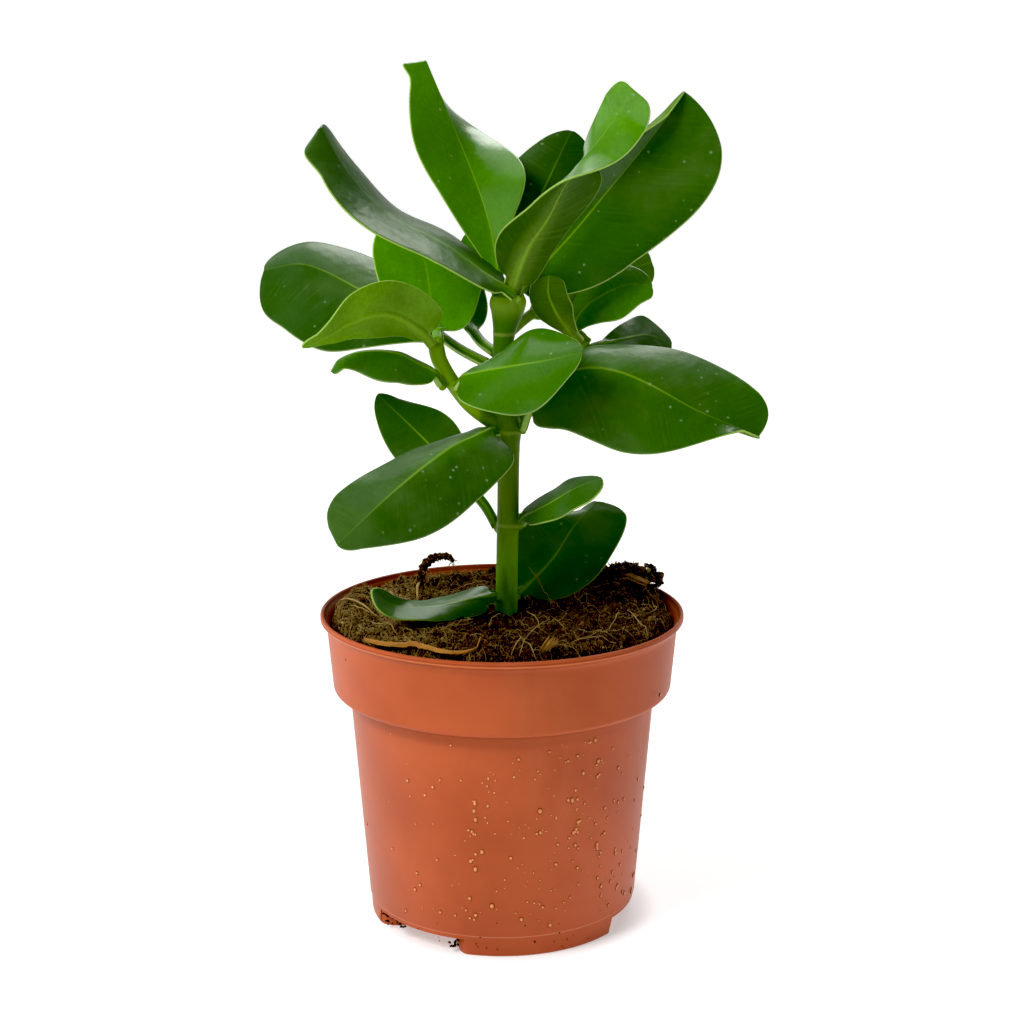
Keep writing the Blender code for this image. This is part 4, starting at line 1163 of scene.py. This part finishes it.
def makeLeaf(name, leaf, materials, number):
    rows = blade["stalkRows"] + blade["bladeRows"]
    sheet = bmesh.new()
    bmesh.ops.create_grid(sheet, x_segments=blade["columns"], y_segments=rows, size=1.0)
    x = np.array([vert.co.x for vert in sheet.verts])
    row = (np.array([vert.co.y for vert in sheet.verts]) + 1) / 2 * rows
    side = np.abs(x)
    across = np.sign(x) * (0.7 * side ** 2 * (3 - 2 * side) + 0.3 * side)
    step = np.clip((row - blade["stalkRows"]) / blade["bladeRows"], 0, 1)
    along = leaf["stalk"] * np.clip(row / blade["stalkRows"], 0, 1)
    along += (1 - leaf["stalk"]) * (1 - (1 - step) ** 1.5)
    middle, share, reach = leafPlaces(leaf, along, across)
    normals = leafNormals(leaf, along, across)
    ribMm = reach * np.abs(across)
    edgeMm = reach * (1 - np.abs(across))
    luck = random.Random(number)
    phase, turns = luck.uniform(0, 6.28), luck.uniform(1.6, 2.6)
    soft = np.sin(np.clip(share, 0, 1) * math.pi) * across ** 2
    rise = blade["wave"] * soft * np.sin(turns * math.tau * share + phase + 1.3 * np.sign(across))
    rise -= leaf["camber"] * across ** 2 * np.sin(np.clip(share, 0, 1) * math.pi)
    veins = np.sin((share * 62 - ribMm * 0.55) + phase)
    rise += blade["quilt"] * veins * soft * (1 - across ** 2) * 0.5
    thick, section = ribProfile(leaf, along, ribMm)
    rounding = np.sqrt(np.clip(1 - (1 - np.clip(edgeMm / blade["edgeRound"], 0, 1)) ** 2, 0.03, 1))
    body = blade["thick"] * rounding
    thickness = body + np.maximum(thick - blade["thick"], 0) * section
    onBlade = np.clip(share / 0.12, 0, 1)
    lowered = np.maximum(thick - blade["thick"], 0) * section * 0.42 * onBlade
    places = middle + normals * (rise - lowered)[:, None]
    # what the materials read: places on the blade, and how young and how pale below the leaf is
    layers = [sheet.verts.layers.float.new(key) for key in ("ribMm", "edgeMm", "share", "tone", "pale")]
    weights = sheet.verts.layers.deform.verify()
    values = zip(sheet.verts, places, thickness / blade["root"], ribMm * np.sign(across), edgeMm, share)
    for vert, spot, weight, *facts in values:
        vert.co = place(*spot)
        vert[weights][0] = min(weight, 1.0)
        for layer, value in zip(layers, (*facts, leaf["tone"], leaf["pale"])):
            vert[layer] = value
    bmesh.ops.remove_doubles(sheet, verts=sheet.verts, dist=1e-6)
    mesh = toMesh("leafSheet", sheet)
    for material in materials:
        mesh.materials.append(material)
    flat = linkObject("leafSheet", mesh)
    flat.vertex_groups.new(name="thick")
    solid = flat.modifiers.new("solid", "SOLIDIFY")
    solid.thickness = blade["root"] * mm
    solid.offset = 0.0
    solid.vertex_group = "thick"
    solid.thickness_vertex_group = 0.0
    solid.material_offset = 1
    solid.material_offset_rim = 1
    slot = "young_leaf" if name in youngLeaves else "mature_leaf"
    addPiece("fine_leaf_" + name, bakeModifiers(flat), [], ["leaf_" + name])


def leafMaterial(name):
    facts = sides[name]
    upper = name == "leafUpper"
    material, wire, shader = startMaterial(name, facts["rough"], Specular_IOR_Level=facts["specular"],
                                           Coat_Roughness=0.2)
    rib = attribute(wire, "ribMm")
    edge = attribute(wire, "edgeMm")
    share = attribute(wire, "share")
    offRib = rib.maths("ABSOLUTE", rib)
    if upper:
        tone = attribute(wire, "tone")
        colour = tone.between(0.0, 0.5, False).blend(fromHex(blade["topDark"]), fromHex(blade["topMid"]))
        colour = tone.between(0.5, 1.0, False).blend(colour, fromHex(blade["topYoung"]))
    else:
        pale = attribute(wire, "pale")
        colour = pale.blend(fromHex(blade["underDark"]), fromHex(blade["underPale"]))
    cloud = objectNoise(wire, 45.0, 4.0, 0.6)
    colour = cloud.between(0.35, 0.7).tint(colour, *facts["shade"])
    # the blade is lighter beside the rib, most near its foot
    glow = (1 - offRib.between(0.3, 6.0)) * (1 - share.between(0.0, 0.75))
    colour = glow.tint(colour, *facts["besideRib"])
    # faint side veins slant from the rib to the margin, unevenly
    slant = share * blade["veins"] - offRib * blade["slant"] + cloud
    uneven = wire.add("TexNoise", {"noise_dimensions": "1D"}, {"W": slant, "Scale": 1.0, "Detail": 3.0})
    vein = uneven.between(0.42, 0.72)
    patch = objectNoise(wire, 90.0).between(0.35, 0.65)
    colour = (vein * patch).tint(colour, facts["veins"], blade["rib"])
    fine = objectNoise(wire, 900.0, 3.0)
    colour = fine.between(0.4, 0.65).tint(colour, *blade["speckle"])
    ribHalf = 0.65 - share * 0.45
    onRib = 1 - (offRib / ribHalf).between(0.45, 1.2)
    fading = 1 - share.between(0.35, 1.0) * facts["ribFades"]
    colour = (onRib * fading).tint(colour, facts["rib"], blade["rib"])
    colour = (1 - edge.between(0.12, 0.4)).tint(colour, blade["rim"], blade["margin"])
    if upper:
        # dried water marks
        spot = wire.add("TexVoronoi", None, {"Vector": objectPlace(wire), "Scale": 300.0}, 0)
        mark = (1 - spot.between(0.05, 0.2)) * objectNoise(wire, 60.0).between(0.5, 0.62)
        # pale dust on the darker leaves, which also paints a greyish sheen over them
        dustAndSheen = (1 - tone.between(0.15, 0.45)) * objectNoise(wire, 28.0, 4.0, 0.6).between(0.42, 0.64)
        colour = dustAndSheen.tint(colour, *blade["dustAndSheen"])
        colour = mark.tint(colour, *blade["waterMarks"])
        plug(tone.between(0.3, 0.6) * 0.6, shader, "Coat Weight")
        plug(0.24 - tone * 0.08 + cloud * 0.24 + mark * 0.3, shader, "Roughness")
    plug(colour, shader, "Base Color")
    ripple = objectNoise(wire, 130.0, 2.0)
    bumpFrom(vein * 0.02 + fine * 0.05 + ripple * 2.2, shader, facts["bump"], 0.0008)
    return material


def makeLeaves():
    materials = [leafMaterial(name) for name in sides]
    for number, (name, leaf) in enumerate(leaves.items()):
        makeLeaf(name, {**usual, **leaf}, materials, number)
    print(len(leaves), "leaves are cut")


makeCamera()
makeStudio()
makePot()
makeWater()
makeSoil()
makeLitter()
makeStem()
makeLeaves()
